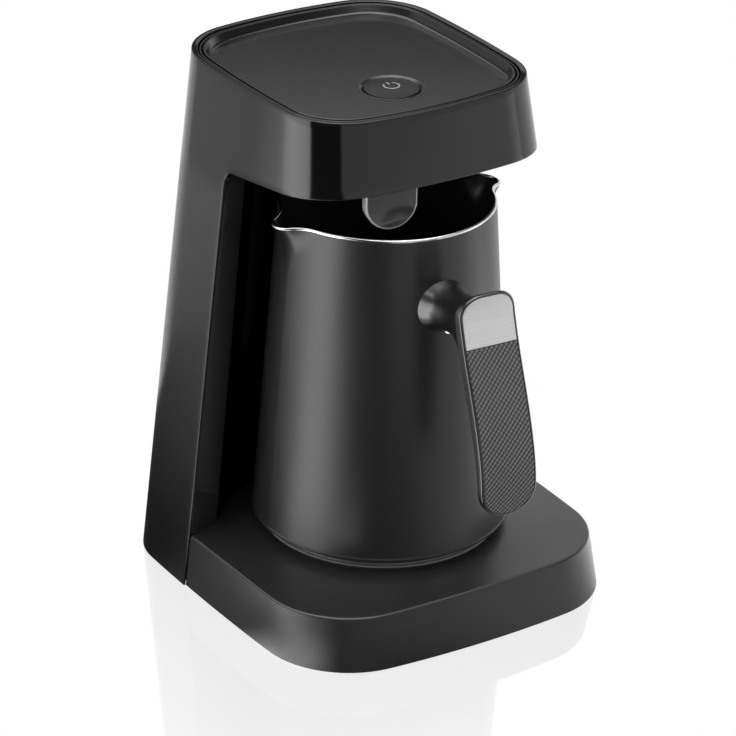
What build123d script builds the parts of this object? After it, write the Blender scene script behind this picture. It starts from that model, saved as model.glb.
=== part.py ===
# Electric Turkish coffee maker: a C-shaped machine with a heated base, a tower, an overhanging
# head with the power button, and a lift-off pot.  Millimetres, +Z up, the front faces -Y.
from build123d import *
from math import cos, radians, sin
import os

os.makedirs("parts", exist_ok=True)

# ---- Body: plan outline at the floor and at the top --------------------------------------------
BODY_HEIGHT = 230.0
HALF_WIDTH_FLOOR = 80.0
HALF_WIDTH_TOP = 56.0
FRONT_FLOOR = -67.3
FRONT_TOP = -24.2
BACK_FLOOR = 90.3
BACK_TOP = 88.1
FRONT_CROWN = 6.8
BACK_CROWN = 6.8
SIDE_CROWN = 2.6
FRONT_CORNER_FLOOR = 40.5
FRONT_CORNER_TOP = 29.0
BACK_CORNER = 31.0
SHELL_WALL = 2.6
SHELL_BOTTOM = 0.6
SEAM_Y = 35.0
HEAD_EDGE = 191.0
HEAD_EDGE_RISE = 0.12
BAY_CORNER = 6.5
FIT = 0.3

# ---- Base ----------------------------------------------------------------------------------------
BASE_TOP = 24.0
BASE_INSET = 0.8
BASE_WALL = 2.6
DOME_TOP = 30.4
DOME_REACH = 75.0
DOME_SHARES = [0, 0.62, 0.68, 0.74, 0.8, 0.86, 0.93, 1]
BASE_REAR = 82.0
PLATE_BOTTOM = 2.2
PLATE_THICKNESS = 3.0
VENT_WIDTH = 3.0
VENT_LENGTH = 30.0
VENT_PITCH = 7.0
VENT_COUNT = 7
VENT_Y = -22.0
FEET = [(-44, -44), (44, -44), (-44, 68), (44, 68)]
FOOT_RADIUS = 8.0
FOOT_HEIGHT = 3.7
POSTS = [(-58, -36), (58, -36), (-62, 20), (62, 20), (-58, 70), (58, 70)]
POST_RADIUS = 4.0
SCREW_RADIUS = 1.5
SCREW_HEAD_RADIUS = 2.9
SCREW_HEAD_HEIGHT = 2.0
SCREW_GAP = 0.1
BOSS_X = 42.0
BOSS_Y = 86.5
BOSS_TOP = 30.0
GLAND_X = -30.0
GLAND_Z = 14.0
GLAND_RADIUS = 6.0
GLAND_BORE = 3.3
GLAND_LIP = 0.9
LOOM_X = 0.0
LOOM_Y = 86.5
LOOM_RADIUS = 2.4

# ---- Heater --------------------------------------------------------------------------------------
POT_Y = 6.7
HOTPLATE_RADIUS = 50.0
HOTPLATE_TOP = 29.6
HOTPLATE_THICKNESS = 3.0
SEAL_WIDTH = 1.2
SEAL_BOTTOM = 25.4
SEAL_TOP = 27.9
SPREADER_RADIUS = 44.0
SPREADER_THICKNESS = 2.0
ELEMENT_RING = 36.0
ELEMENT_RADIUS = 3.2
ELEMENT_GAP = 30.0
CARRIER_TOP = 18.0
CARRIER_BAR = 12.0
CARRIER_THICKNESS = 1.5
CARRIER_ANGLES = [215, 325, 90]
CARRIER_POST_REACH = 57.5
PROBE_RADIUS = 4.5
PROBE_STEM_RADIUS = 2.0
PROBE_HEAD = 4.0
GUIDE_WALL = 2.0
GUIDE_BOTTOM = 13.0
SPRING_WIRE = 0.35

# ---- Power board ---------------------------------------------------------------------------------
BOARD_Y = 67.0
BOARD_X = 62.0
BOARD_Z = 8.2
BOARD_FIXES = [(-26, 61), (26, 61), (-26, 74), (26, 74)]

# ---- Tower front ---------------------------------------------------------------------------------
TOWER_CROWN = 2.3
STRIP_REACH = 12.6
STRIP_DEPTH = 5.5
RECESS_FLOOR = 30.0
RECESS_TOP = 26.0
LINER_WALL = 3.0
LINER_EDGE_Y = 33.5

# ---- Head ----------------------------------------------------------------------------------------
UNDERSIDE_RECESS = 1.8
UNDERSIDE_THICKNESS = 2.5
RIM_GROOVE = 0.4
TRIM_WIDTH = 1.1
TRAY_RIM = 1.3
TRAY_TOP = 229.7
TRAY_FLOOR = 226.0
TRAY_FLOOR_THICKNESS = 2.5
TRAY_FLANGE_BOTTOM = 220.2
TRAY_FLANGE_THICKNESS = 1.8
LEDGE_WIDTH = 4.0
LEDGE_THICKNESS = 2.5
HEAD_POSTS = [(-40, -2), (40, -2), (-25, 48), (25, 48)]
HEAD_POST_LOW = 207.4
BOARD_POSTS = [(-28, -8), (28, -8), (-28, 26), (28, 26)]
BUTTON_Y = 6.0
BUTTON_RADIUS = 11.7
BUTTON_TRAVEL = 1.2
BUTTON_PROUD = 1.0
DISH_RADIUS = 14.0
DISH_DEPTH = 0.8
BUTTON_FLANGE = 1.5
BEZEL_BOTTOM = 221.9
SWITCH_TOP = 212.7
BUTTON_STEM_RADIUS = 3.2
BOARD_TOP = 208.0
BOARD_THICKNESS = 1.6
BOARD_LENGTH = 64.0
BOARD_WIDTH = 46.0
SENSOR_X = -20.0
SENSOR_Y = -23.5
SENSOR_TURN = -12.0
SENSOR_WIDTH = 24.0
SENSOR_THICKNESS = 5.0
SENSOR_BOTTOM = 179.6

# ---- Pot -----------------------------------------------------------------------------------------
POT_TURN = -3.0
POT_WALL = 1.2
POT_SKIRT = 29.9
POT_FLOOR = 31.9
POT_TOP = 176.8
POT_RADIUS_BOTTOM = 55.8
POT_RADIUS_TOP = 46.0
SPOUT_START = 148.0
SPOUT_LEVELS = [148.0, 155.0, 162.0, 169.0, 176.8]
SPOUT_REACH = 55.6
SPOUT_TIP = 7.0
SPOUT_TIP_LOW = 22.0
SPOUT_HOLLOW = 18.0
SPOUT_HOLLOW_LOW = 45.0
SPOUT_CUT = 35.0
SPOUT_DIP = 2.0
DISC_RADIUS = 48.5
RING_WIDTH = 3.3

# ---- Handle --------------------------------------------------------------------------------------
HANDLE_WIDTH = 26.4
HANDLE_TOP = 166.2
HANDLE_BOTTOM = 73.5
HANDLE_TOP_CORNER = 9.5
HANDLE_BOTTOM_CORNER = 12.4
INSERT_MARGIN = 1.4
INSERT_DEPTH = 2.0
INSERT_GAP = 0.15
CAP_SPLIT = 143.5
STEM_HEIGHT = 145.5
STEM_RISE = 5.0
STUD_RADIUS = 5.0
STUD_LENGTH = 10.0
HANDLE_BOLT_RADIUS = 2.0
PADDLE_FRONT = [(82.9, 166.2), (81.6, 157), (83.0, 151.5), (85.6, 143.5), (92.7, 125), (98.5, 109),
                (102.4, 94), (103.3, 83), (102.2, 73.5)]
PADDLE_REAR = [(97.9, 73.5), (98.9, 83), (97.4, 94), (92.9, 109), (86.9, 125), (80.1, 143.5),
               (77.6, 151.5), (76.6, 157), (77.6, 166.2)]
STEM = [(44.0, 12.6), (51.5, 10.9), (58.0, 10.4), (66.0, 10.8), (74.0, 12.0), (80.5, 13.0)]

POT_AXIS = Axis((0, POT_Y, 0), (0, 0, 1))
BUTTON_AXIS = Axis((0, BUTTON_Y, 0), (0, 0, 1))
FAR = 150.0
UP = (Align.CENTER, Align.CENTER, Align.MIN)
DOWN = (Align.CENTER, Align.CENTER, Align.MAX)


def save(piece, name):
    """Labels a finished piece and writes it to its own file."""
    piece.part.label = name
    export_step(piece.part, f"parts/{name}.step")


# ---- Shared forms --------------------------------------------------------------------------------
def at_height(floor_value, top_value, height):
    """A size that changes evenly from the floor to the top of the machine."""
    return floor_value + (top_value - floor_value) * height / BODY_HEIGHT


def half_width(height):
    return at_height(HALF_WIDTH_FLOOR, HALF_WIDTH_TOP, height)


def head_edge(y):
    """Height of the head's lower edge, which rises towards the front."""
    return HEAD_EDGE + (SEAM_Y - y) * HEAD_EDGE_RISE


def plan_outline(height, inset):
    """The rounded, slightly crowned outline of the body at one height."""
    half = half_width(height) - inset
    front = at_height(FRONT_FLOOR, FRONT_TOP, height) + inset
    back = at_height(BACK_FLOOR, BACK_TOP, height) - inset
    middle = (front + back) / 2
    front_corner = at_height(FRONT_CORNER_FLOOR, FRONT_CORNER_TOP, height) - inset
    with BuildSketch(Plane.XY.offset(height)) as outline:
        with BuildLine():
            ThreePointArc((-half, front), (0, front - FRONT_CROWN), (half, front))
            ThreePointArc((half, front), (half + SIDE_CROWN, middle), (half, back))
            ThreePointArc((half, back), (0, back + BACK_CROWN), (-half, back))
            ThreePointArc((-half, back), (-half - SIDE_CROWN, middle), (-half, front))
        make_face()
        fillet(outline.vertices().group_by(Axis.Y)[0], front_corner)
        fillet(outline.vertices().group_by(Axis.Y)[-1], BACK_CORNER - inset)
    return outline.sketch


def body_block(low, high, inset):
    """A solid slice of the tapered body, inset evenly from its outside."""
    with BuildPart() as block:
        loft([plan_outline(low, inset), plan_outline(high, inset)], ruled=True)
    return block.part


def side_prism(points, corner=None):
    """A full-width prism whose side profile (y, z) is given."""
    with BuildSketch(Plane.YZ) as profile:
        with BuildLine():
            Polyline(*points, close=True)
        make_face()
        if corner:
            place, radius = corner
            fillet(profile.vertices().sort_by_distance((0, *place))[0], radius)
    with BuildPart() as prism:
        extrude(profile.sketch, amount=FAR, both=True)
    return prism.part


def under_head(raise_by):
    """Everything below a plane parallel to the head's lower edge."""
    return side_prism([
        (-FAR, -10),
        (FAR, -10),
        (FAR, head_edge(FAR) + raise_by),
        (-FAR, head_edge(-FAR) + raise_by),
    ])


def tower_outline(height, shift):
    """Plan of all that lies behind the tower's front surface, moved back by shift."""
    edge = half_width(height) + TOWER_CROWN - SHELL_WALL - FIT
    inner = edge - STRIP_REACH
    inner_y = LINER_EDGE_Y + STRIP_DEPTH
    deepest = inner_y + at_height(RECESS_FLOOR, RECESS_TOP, height)
    with BuildSketch(Plane.XY.offset(height)) as outline:
        with BuildLine():
            Line((-edge, LINER_EDGE_Y + shift), (-inner, inner_y + shift))
            ThreePointArc((-inner, inner_y + shift), (0, deepest + shift), (inner, inner_y + shift))
            Line((inner, inner_y + shift), (edge, LINER_EDGE_Y + shift))
            Polyline(
                (edge, LINER_EDGE_Y + shift),
                (edge, FAR),
                (-edge, FAR),
                (-edge, LINER_EDGE_Y + shift),
            )
        make_face()
    return outline.sketch


def tower_block(low, high, shift):
    with BuildPart() as block:
        loft([tower_outline(low, shift), tower_outline(high, shift)], ruled=True)
    return block.part


def ring_points(radius, angles, centre=(0.0, POT_Y)):
    """Points (x, y) on a circle about the pot's axis, or about another centre."""
    turns = [radians(angle) for angle in angles]
    return [(centre[0] + radius * cos(turn), centre[1] + radius * sin(turn)) for turn in turns]


def in_front_of(y):
    """Everything in front of a plane across the base."""
    with BuildPart() as block:
        with Locations((0, y, 0)):
            Box(FAR * 2, FAR * 2, FAR, align=(Align.CENTER, Align.MAX, Align.CENTER))
    return block.part


def behind(y):
    """Everything behind a plane across the base."""
    with BuildPart() as block:
        with Locations((0, y, 0)):
            Box(FAR * 2, FAR * 2, FAR, align=(Align.CENTER, Align.MIN, Align.CENTER))
    return block.part


def screw(length):
    """A pan-head screw standing point up, at the current locations."""
    Cylinder(SCREW_HEAD_RADIUS, SCREW_HEAD_HEIGHT, align=(Align.CENTER, Align.CENTER, Align.MIN))
    with Locations((0, 0, SCREW_HEAD_HEIGHT)):
        Cylinder(SCREW_RADIUS, length, align=(Align.CENTER, Align.CENTER, Align.MIN))


# ---- Outer shell: both sides, the back and the head's band in one moulding -----------------------
shell_outside = body_block(SHELL_BOTTOM, BODY_HEIGHT, 0)
shell_inside = body_block(SHELL_BOTTOM - 1, BODY_HEIGHT + 1, SHELL_WALL)
ledge_top = TRAY_FLANGE_BOTTOM
ledge = body_block(ledge_top - LEDGE_THICKNESS, ledge_top, SHELL_WALL / 2)
ledge_hole = body_block(ledge_top - LEDGE_THICKNESS - 1, ledge_top + 1, SHELL_WALL + LEDGE_WIDTH)
lip_top = under_head(UNDERSIDE_RECESS + UNDERSIDE_THICKNESS + 2.2)
lip_under = under_head(UNDERSIDE_RECESS + UNDERSIDE_THICKNESS + 0.1)
lip_outside = body_block(178, 212, SHELL_WALL / 2)
lip_hole = body_block(177, 213, SHELL_WALL + 2.8)
with BuildPart() as plate_lip:
    add(lip_outside)
    add(lip_top, mode=Mode.INTERSECT)
    add(lip_under, mode=Mode.SUBTRACT)
    add(lip_hole, mode=Mode.SUBTRACT)
pot_bay = side_prism(
    [(SEAM_Y, -10), (SEAM_Y, HEAD_EDGE), (-FAR, head_edge(-FAR)), (-FAR, -10)],
    corner=((SEAM_Y, HEAD_EDGE), BAY_CORNER),
)
boss_low = PLATE_BOTTOM + PLATE_THICKNESS
with BuildPart() as outer_shell:
    add(shell_outside)
    add(shell_inside, mode=Mode.SUBTRACT)
    add(pot_bay, mode=Mode.SUBTRACT)
    fillet(outer_shell.edges().group_by(Axis.Z)[-1], 0.8)
    add(ledge)
    add(ledge_hole, mode=Mode.SUBTRACT)
    add(plate_lip.part)
    for side in (-1, 1):
        with Locations((side * BOSS_X, BOSS_Y, boss_low)):
            Cylinder(POST_RADIUS, BOSS_TOP - boss_low, align=UP)
        with Locations((side * BOSS_X, BOSS_Y + 4.5, boss_low)):
            Box(2.2, 5.0, BOSS_TOP - boss_low, align=UP)
        with Locations((side * BOSS_X, BOSS_Y, 0)):
            Cylinder(SCREW_RADIUS + SCREW_GAP, BOSS_TOP - 4, align=UP, mode=Mode.SUBTRACT)
    with BuildSketch(Plane.XZ) as gland_hole:
        with Locations((GLAND_X, GLAND_Z)):
            Circle(GLAND_RADIUS + 0.1)
    extrude(gland_hole.sketch, amount=-FAR, mode=Mode.SUBTRACT)
save(outer_shell, "outer_shell")

# ---- Cord gland: a rubber bush in the back wall --------------------------------------------------
gland_bulge = BACK_CROWN * (1 - (GLAND_X / HALF_WIDTH_FLOOR) ** 2)
gland_wall = at_height(BACK_FLOOR, BACK_TOP, GLAND_Z) + gland_bulge
gland_face = Plane((GLAND_X, gland_wall + GLAND_LIP, GLAND_Z), x_dir=(1, 0, 0), z_dir=(0, -1, 0))
with BuildPart() as cord_gland:
    with BuildSketch(gland_face):
        Circle(GLAND_RADIUS + 1.2)
    extrude(amount=GLAND_LIP - 0.42)
    with BuildSketch(gland_face):
        Circle(GLAND_RADIUS - 0.05)
    extrude(amount=GLAND_LIP + SHELL_WALL + 3)
    fillet(cord_gland.edges().group_by(Axis.Y)[-1], 0.3)
    with BuildSketch(gland_face):
        Circle(GLAND_BORE)
    extrude(amount=FAR, both=True, mode=Mode.SUBTRACT)
save(cord_gland, "cord_gland")

# ---- Base cover: the satin platform, gently domed up to the hotplate -----------------------------
plate_top = PLATE_BOTTOM + PLATE_THICKNESS
skin_under = BASE_TOP - BASE_WALL
seat_bore = HOTPLATE_RADIUS + SEAL_WIDTH + 0.05
carrier_posts = ring_points(CARRIER_POST_REACH, CARRIER_ANGLES)


def dome_height(share):
    """Height of the base's shallow crown at a share of its reach from the pot's axis."""
    return DOME_TOP - (DOME_TOP - BASE_TOP) * share ** 2


def dome(drop):
    """The crown as a solid of stepped cones, lowered by drop."""
    with BuildPart() as crown:
        with BuildSketch(Plane.XZ.offset(-POT_Y)):
            with BuildLine():
                Polyline(
                    *[(DOME_REACH * share, dome_height(share) - drop) for share in DOME_SHARES],
                    (DOME_REACH, BASE_TOP - drop - 3),
                    (0, BASE_TOP - drop - 3),
                    close=True,
                )
            make_face()
        revolve(axis=POT_AXIS)
    return crown.part


def post_roof(x, y):
    """Height, inside the cover's skin, at which a post under (x, y) ends."""
    share = min(1.0, (x ** 2 + (y - POT_Y) ** 2) ** 0.5 / DOME_REACH)
    return dome_height(share) - BASE_WALL / 2


front_outside = body_block(SHELL_BOTTOM, BASE_TOP, BASE_INSET)
front_inside = body_block(SHELL_BOTTOM - 1, skin_under, BASE_INSET + BASE_WALL)
rear_outside = body_block(SHELL_BOTTOM, BASE_TOP, SHELL_WALL + FIT)
rear_inside = body_block(SHELL_BOTTOM - 1, skin_under, SHELL_WALL + FIT + BASE_WALL)
dome_outside = dome(0)
dome_inside = dome(BASE_WALL)
tower_foot = tower_block(BASE_TOP, BASE_TOP + 10, -FIT / 2)

with BuildPart() as base_front:
    add(front_outside)
    add(behind(SEAM_Y - FIT), mode=Mode.SUBTRACT)
with BuildPart() as base_rear:
    add(rear_outside)
    add(in_front_of(SEAM_Y - FIT - 1), mode=Mode.SUBTRACT)
    add(behind(BASE_REAR), mode=Mode.SUBTRACT)
with BuildPart() as hollow_front:
    add(front_inside)
    add(behind(SEAM_Y - FIT - BASE_WALL), mode=Mode.SUBTRACT)
with BuildPart() as hollow_rear:
    add(rear_inside)
    add(in_front_of(SEAM_Y - 10), mode=Mode.SUBTRACT)
    add(behind(BASE_REAR - BASE_WALL), mode=Mode.SUBTRACT)

with BuildPart() as base_cover:
    add(base_front.part)
    add(base_rear.part)
    top_edges = base_cover.edges().filter_by_position(Axis.Z, BASE_TOP - 0.1, BASE_TOP + 0.1)
    fillet(top_edges.group_by(Axis.Y)[0], 1.0)
    add(dome_outside)
    add(hollow_front.part, mode=Mode.SUBTRACT)
    add(hollow_rear.part, mode=Mode.SUBTRACT)
    add(dome_inside, mode=Mode.SUBTRACT)
    add(tower_foot, mode=Mode.SUBTRACT)
    with Locations((0, POT_Y, SEAL_BOTTOM - 2.5)):
        Cylinder(seat_bore + 2.5, 4, align=UP)
    with Locations((0, POT_Y, SEAL_BOTTOM)):
        Cylinder(seat_bore, 20, align=UP, mode=Mode.SUBTRACT)
    with Locations((0, POT_Y, 0)):
        Cylinder(HOTPLATE_RADIUS - 2.5, 60, align=UP, mode=Mode.SUBTRACT)
    for x, y in POSTS:
        with Locations((x, y, plate_top)):
            Cylinder(POST_RADIUS, post_roof(x, y) - plate_top, align=UP)
    for x, y in carrier_posts:
        with Locations((x, y, CARRIER_TOP)):
            Cylinder(POST_RADIUS - 0.5, post_roof(x, y) - CARRIER_TOP, align=UP)
    with Locations(*[(x, y, 0) for x, y in POSTS]):
        Cylinder(SCREW_RADIUS + SCREW_GAP, skin_under - 2, align=UP, mode=Mode.SUBTRACT)
    with Locations(*[(x, y, 0) for x, y in carrier_posts]):
        Cylinder(SCREW_RADIUS + SCREW_GAP, skin_under + 0.8, align=UP, mode=Mode.SUBTRACT)
    with Locations((0, BASE_REAR, 0)):
        Box(FAR * 2, 20, plate_top + FIT, align=UP, mode=Mode.SUBTRACT)
        Box(14, 12, 16, align=UP, mode=Mode.SUBTRACT)
save(base_cover, "base_cover")

# ---- Base plate: closes the base from below, with board stand-offs and vent slots -----------------
plate_screws = POSTS + [(-BOSS_X, BOSS_Y), (BOSS_X, BOSS_Y)]
plate_front = body_block(PLATE_BOTTOM, plate_top, BASE_INSET + BASE_WALL + FIT)
plate_rear = body_block(PLATE_BOTTOM, plate_top, SHELL_WALL + BASE_WALL + FIT * 2)
plate_tail = body_block(PLATE_BOTTOM, plate_top, SHELL_WALL + FIT)
with BuildPart() as base_plate:
    add(plate_front)
    add(behind(SEAM_Y - FIT - BASE_WALL - FIT), mode=Mode.SUBTRACT)
    with BuildPart(mode=Mode.PRIVATE) as plate_back:
        add(plate_rear)
        add(in_front_of(SEAM_Y - 12), mode=Mode.SUBTRACT)
    add(plate_back.part)
    with BuildPart(mode=Mode.PRIVATE) as plate_end:
        add(plate_tail)
        add(in_front_of(BASE_REAR), mode=Mode.SUBTRACT)
    add(plate_end.part)
    with Locations(*[(x, y, plate_top) for x, y in BOARD_FIXES]):
        Cylinder(2.5, BOARD_Z - plate_top, align=UP)
    with Locations(*[(x, y, 0) for x, y in plate_screws]):
        Cylinder(SCREW_RADIUS + SCREW_GAP, 20, align=UP, mode=Mode.SUBTRACT)
        Cylinder(SCREW_HEAD_RADIUS + 0.2, PLATE_BOTTOM + SCREW_HEAD_HEIGHT, align=UP, mode=Mode.SUBTRACT)
    with Locations(*[(x, y, 0) for x, y in BOARD_FIXES]):
        Cylinder(SCREW_RADIUS + SCREW_GAP, 20, align=UP, mode=Mode.SUBTRACT)
    with Locations(*[(x, y, 0) for x, y in FEET]):
        Cylinder(FOOT_RADIUS + 0.1, FOOT_HEIGHT, align=UP, mode=Mode.SUBTRACT)
    with Locations((0, VENT_Y, 0)):
        with GridLocations(VENT_PITCH, VENT_LENGTH, VENT_COUNT, 1):
            Box(VENT_WIDTH, VENT_LENGTH, 20, mode=Mode.SUBTRACT)
save(base_plate, "base_plate")

# ---- Rubber feet, as one group -------------------------------------------------------------------
with BuildPart() as feet:
    with Locations(*[(x, y, 0) for x, y in FEET]):
        Cylinder(FOOT_RADIUS, FOOT_HEIGHT - 0.1, align=UP)
    chamfer(feet.edges().group_by(Axis.Z)[0], 0.8)
save(feet, "feet")

# ---- Screws that close the base ------------------------------------------------------------------
with BuildPart() as base_screws:
    with Locations(*[(x, y, PLATE_BOTTOM) for x, y in plate_screws]):
        screw(12.0)
    with Locations(*[(x, y, PLATE_BOTTOM - 0.5) for x, y in plate_screws]):
        Cylinder(1.2, 1.7, align=UP, mode=Mode.SUBTRACT)
save(base_screws, "base_screws")

# ---- Hotplate, its seal and its spreader ---------------------------------------------------------
plate_under = HOTPLATE_TOP - HOTPLATE_THICKNESS
probe_bore = PROBE_RADIUS + 0.4
with BuildPart() as hotplate:
    with Locations((0, POT_Y, plate_under)):
        Cylinder(HOTPLATE_RADIUS, HOTPLATE_THICKNESS, align=UP)
    fillet(hotplate.edges().group_by(Axis.Z)[-1], 0.8)
    with Locations((0, POT_Y, 0)):
        Cylinder(probe_bore, 60, align=UP, mode=Mode.SUBTRACT)
save(hotplate, "hotplate")

with BuildPart() as hotplate_seal:
    with Locations((0, POT_Y, SEAL_BOTTOM)):
        Cylinder(HOTPLATE_RADIUS + SEAL_WIDTH, SEAL_TOP - SEAL_BOTTOM, align=UP)
        Cylinder(HOTPLATE_RADIUS - 2.4, 20, align=UP, mode=Mode.SUBTRACT)
    with Locations((0, POT_Y, plate_under)):
        Cylinder(HOTPLATE_RADIUS + 0.05, 20, align=UP, mode=Mode.SUBTRACT)
save(hotplate_seal, "hotplate_seal")

with BuildPart() as heat_spreader:
    with Locations((0, POT_Y, plate_under - SPREADER_THICKNESS)):
        Cylinder(SPREADER_RADIUS, SPREADER_THICKNESS, align=UP)
    with Locations((0, POT_Y, 0)):
        Cylinder(probe_bore, 60, align=UP, mode=Mode.SUBTRACT)
save(heat_spreader, "heat_spreader")

# ---- Tubular heating element with its two cold pins ----------------------------------------------
element_z = plate_under - SPREADER_THICKNESS - ELEMENT_RADIUS
start = 270 + ELEMENT_GAP / 2
ends = ring_points(ELEMENT_RING, [start, 270 - ELEMENT_GAP / 2])
element_normal = (-sin(radians(start)), cos(radians(start)), 0)
element_start = Plane((ends[0][0], ends[0][1], element_z), x_dir=(0, 0, 1), z_dir=element_normal)
with BuildPart() as heating_element:
    with BuildSketch(element_start):
        Circle(ELEMENT_RADIUS)
    revolve(axis=POT_AXIS, revolution_arc=360 - ELEMENT_GAP)
    with Locations(*[(x, y, element_z) for x, y in ends]):
        Sphere(ELEMENT_RADIUS)
        Cylinder(ELEMENT_RADIUS - 0.6, 4.5, align=DOWN)
        Cylinder(1.1, 9.0, align=DOWN)
save(heating_element, "heating_element")

# ---- Carrier that holds the heater up, with the probe's guide ------------------------------------
guide_radius = PROBE_STEM_RADIUS + 0.3
with BuildPart() as heater_carrier:
    with Locations((0, POT_Y, CARRIER_TOP - CARRIER_THICKNESS)):
        Cylinder(ELEMENT_RING + 5, CARRIER_THICKNESS, align=UP)
        Cylinder(ELEMENT_RING - 5, 20, align=UP, mode=Mode.SUBTRACT)
        Box(CARRIER_BAR, ELEMENT_RING * 2, CARRIER_THICKNESS, align=UP)
    for x, y in carrier_posts:
        inner = (x * 0.62, POT_Y + (y - POT_Y) * 0.62)
        with BuildSketch(Plane.XY.offset(CARRIER_TOP - CARRIER_THICKNESS)):
            with BuildLine():
                arm = Line(inner, (x, y))
            trace(arm, 11)
            with Locations((x, y)):
                Circle(5.5)
        extrude(amount=CARRIER_THICKNESS)
    with Locations((0, POT_Y, GUIDE_BOTTOM)):
        Cylinder(guide_radius + GUIDE_WALL, CARRIER_TOP - GUIDE_BOTTOM, align=UP)
    with Locations((0, POT_Y, 0)):
        Cylinder(guide_radius, 60, align=UP, mode=Mode.SUBTRACT)
    with Locations(*[(x, y, 0) for x, y in carrier_posts]):
        Cylinder(SCREW_RADIUS + 0.3, 60, align=UP, mode=Mode.SUBTRACT)
    with Locations(*[(x, y, 0) for x, y in ends]):
        Cylinder(ELEMENT_RADIUS + 0.6, 60, align=UP, mode=Mode.SUBTRACT)
save(heater_carrier, "heater_carrier")

carrier_under = CARRIER_TOP - CARRIER_THICKNESS
with BuildPart() as carrier_screws:
    for x, y in carrier_posts:
        with Locations((x, y, carrier_under - SCREW_HEAD_HEIGHT)):
            screw(5.0)
save(carrier_screws, "carrier_screws")

# ---- Temperature probe: a sprung button that touches the pot's base ------------------------------
with BuildPart() as thermostat_probe:
    with Locations((0, POT_Y, HOTPLATE_TOP - PROBE_HEAD)):
        Cylinder(PROBE_RADIUS, PROBE_HEAD, align=UP)
    fillet(thermostat_probe.edges().group_by(Axis.Z)[-1], 0.6)
    with Locations((0, POT_Y, GUIDE_BOTTOM - 3.5)):
        Cylinder(PROBE_STEM_RADIUS, HOTPLATE_TOP - PROBE_HEAD - GUIDE_BOTTOM + 3.5, align=UP)
        Cylinder(PROBE_STEM_RADIUS + 1.1, 1.0, align=UP)
save(thermostat_probe, "thermostat_probe")

spring_low = CARRIER_TOP + 0.35
spring_high = HOTPLATE_TOP - PROBE_HEAD - 0.45
with BuildPart() as probe_spring:
    with BuildLine():
        coil = Helix(
            pitch=(spring_high - spring_low) / 3,
            height=spring_high - spring_low,
            radius=3.2,
            center=(0, POT_Y, spring_low),
        )
    with BuildSketch(Plane(coil @ 0, z_dir=coil % 0)):
        Circle(SPRING_WIRE)
    sweep(path=coil)
save(probe_spring, "probe_spring")

# ---- Thermal cut-out, clamped to the spreader ----------------------------------------------------
cutout_top = plate_under - SPREADER_THICKNESS - 0.1
with BuildPart() as thermal_cutout:
    with Locations((19, POT_Y, cutout_top - 5.5)):
        Cylinder(7.5, 5.5, align=UP)
    with Locations((19, POT_Y, cutout_top - 1.0)):
        Box(22, 6, 1.0, align=UP)
    with Locations((16, POT_Y, cutout_top - 9.5), (22, POT_Y, cutout_top - 9.5)):
        Box(0.8, 4, 5, align=UP)
save(thermal_cutout, "thermal_cutout")

# ---- Power electronics on the base plate ---------------------------------------------------------
board_top = BOARD_Z + BOARD_THICKNESS
with BuildPart() as power_board:
    with Locations((0, BOARD_Y, BOARD_Z + 0.05)):
        Box(BOARD_X, 20, BOARD_THICKNESS, align=UP)
    with Locations(*[(x, y, 0) for x, y in BOARD_FIXES]):
        Cylinder(SCREW_RADIUS + 0.2, 60, align=UP, mode=Mode.SUBTRACT)
save(power_board, "power_board")

part_z = board_top + 0.1
with BuildPart() as power_relay:
    with Locations((14.5, BOARD_Y - 1, part_z)):
        Box(15, 11, 10, align=UP)
    fillet(power_relay.edges().group_by(Axis.Z)[-1], 0.5)
save(power_relay, "power_relay")

with BuildPart() as filter_capacitor:
    with Locations((-14, BOARD_Y, part_z)):
        Box(13, 7, 9, align=UP)
    fillet(filter_capacitor.edges().group_by(Axis.Z)[-1], 0.8)
    with Locations((-4.5, BOARD_Y + 2, part_z)):
        Cylinder(2.5, 6, align=UP)
save(filter_capacitor, "filter_capacitor")

with BuildPart() as terminal_block:
    with Locations((-15.5, BOARD_Y + 6.8, part_z)):
        Box(14, 6, 7.5, align=UP)
    with Locations(*[(x, BOARD_Y + 6.8, part_z + 4) for x in (-19.5, -15.5, -11.5)]):
        Cylinder(1.3, 4, align=UP, mode=Mode.SUBTRACT)
save(terminal_block, "terminal_block")

with BuildPart() as power_board_screws:
    for x, y in BOARD_FIXES:
        with Locations((x, y, board_top + 0.1)):
            Cylinder(SCREW_HEAD_RADIUS, SCREW_HEAD_HEIGHT, align=UP)
            Cylinder(SCREW_RADIUS, 5.0, align=DOWN)
save(power_board_screws, "power_board_screws")

# ---- Tower front: the gloss column with its two edge strips and hollow back ----------------------
liner_low = BASE_TOP + 0.1
liner_face = tower_block(liner_low, HEAD_EDGE + 10, 0)
liner_back = tower_block(liner_low - 1, HEAD_EDGE + 11, LINER_WALL)
below_plate = under_head(UNDERSIDE_RECESS - 0.1)
with BuildPart() as tower_front:
    add(liner_face)
    add(liner_back, mode=Mode.SUBTRACT)
    add(below_plate, mode=Mode.INTERSECT)
save(tower_front, "tower_front")

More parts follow.
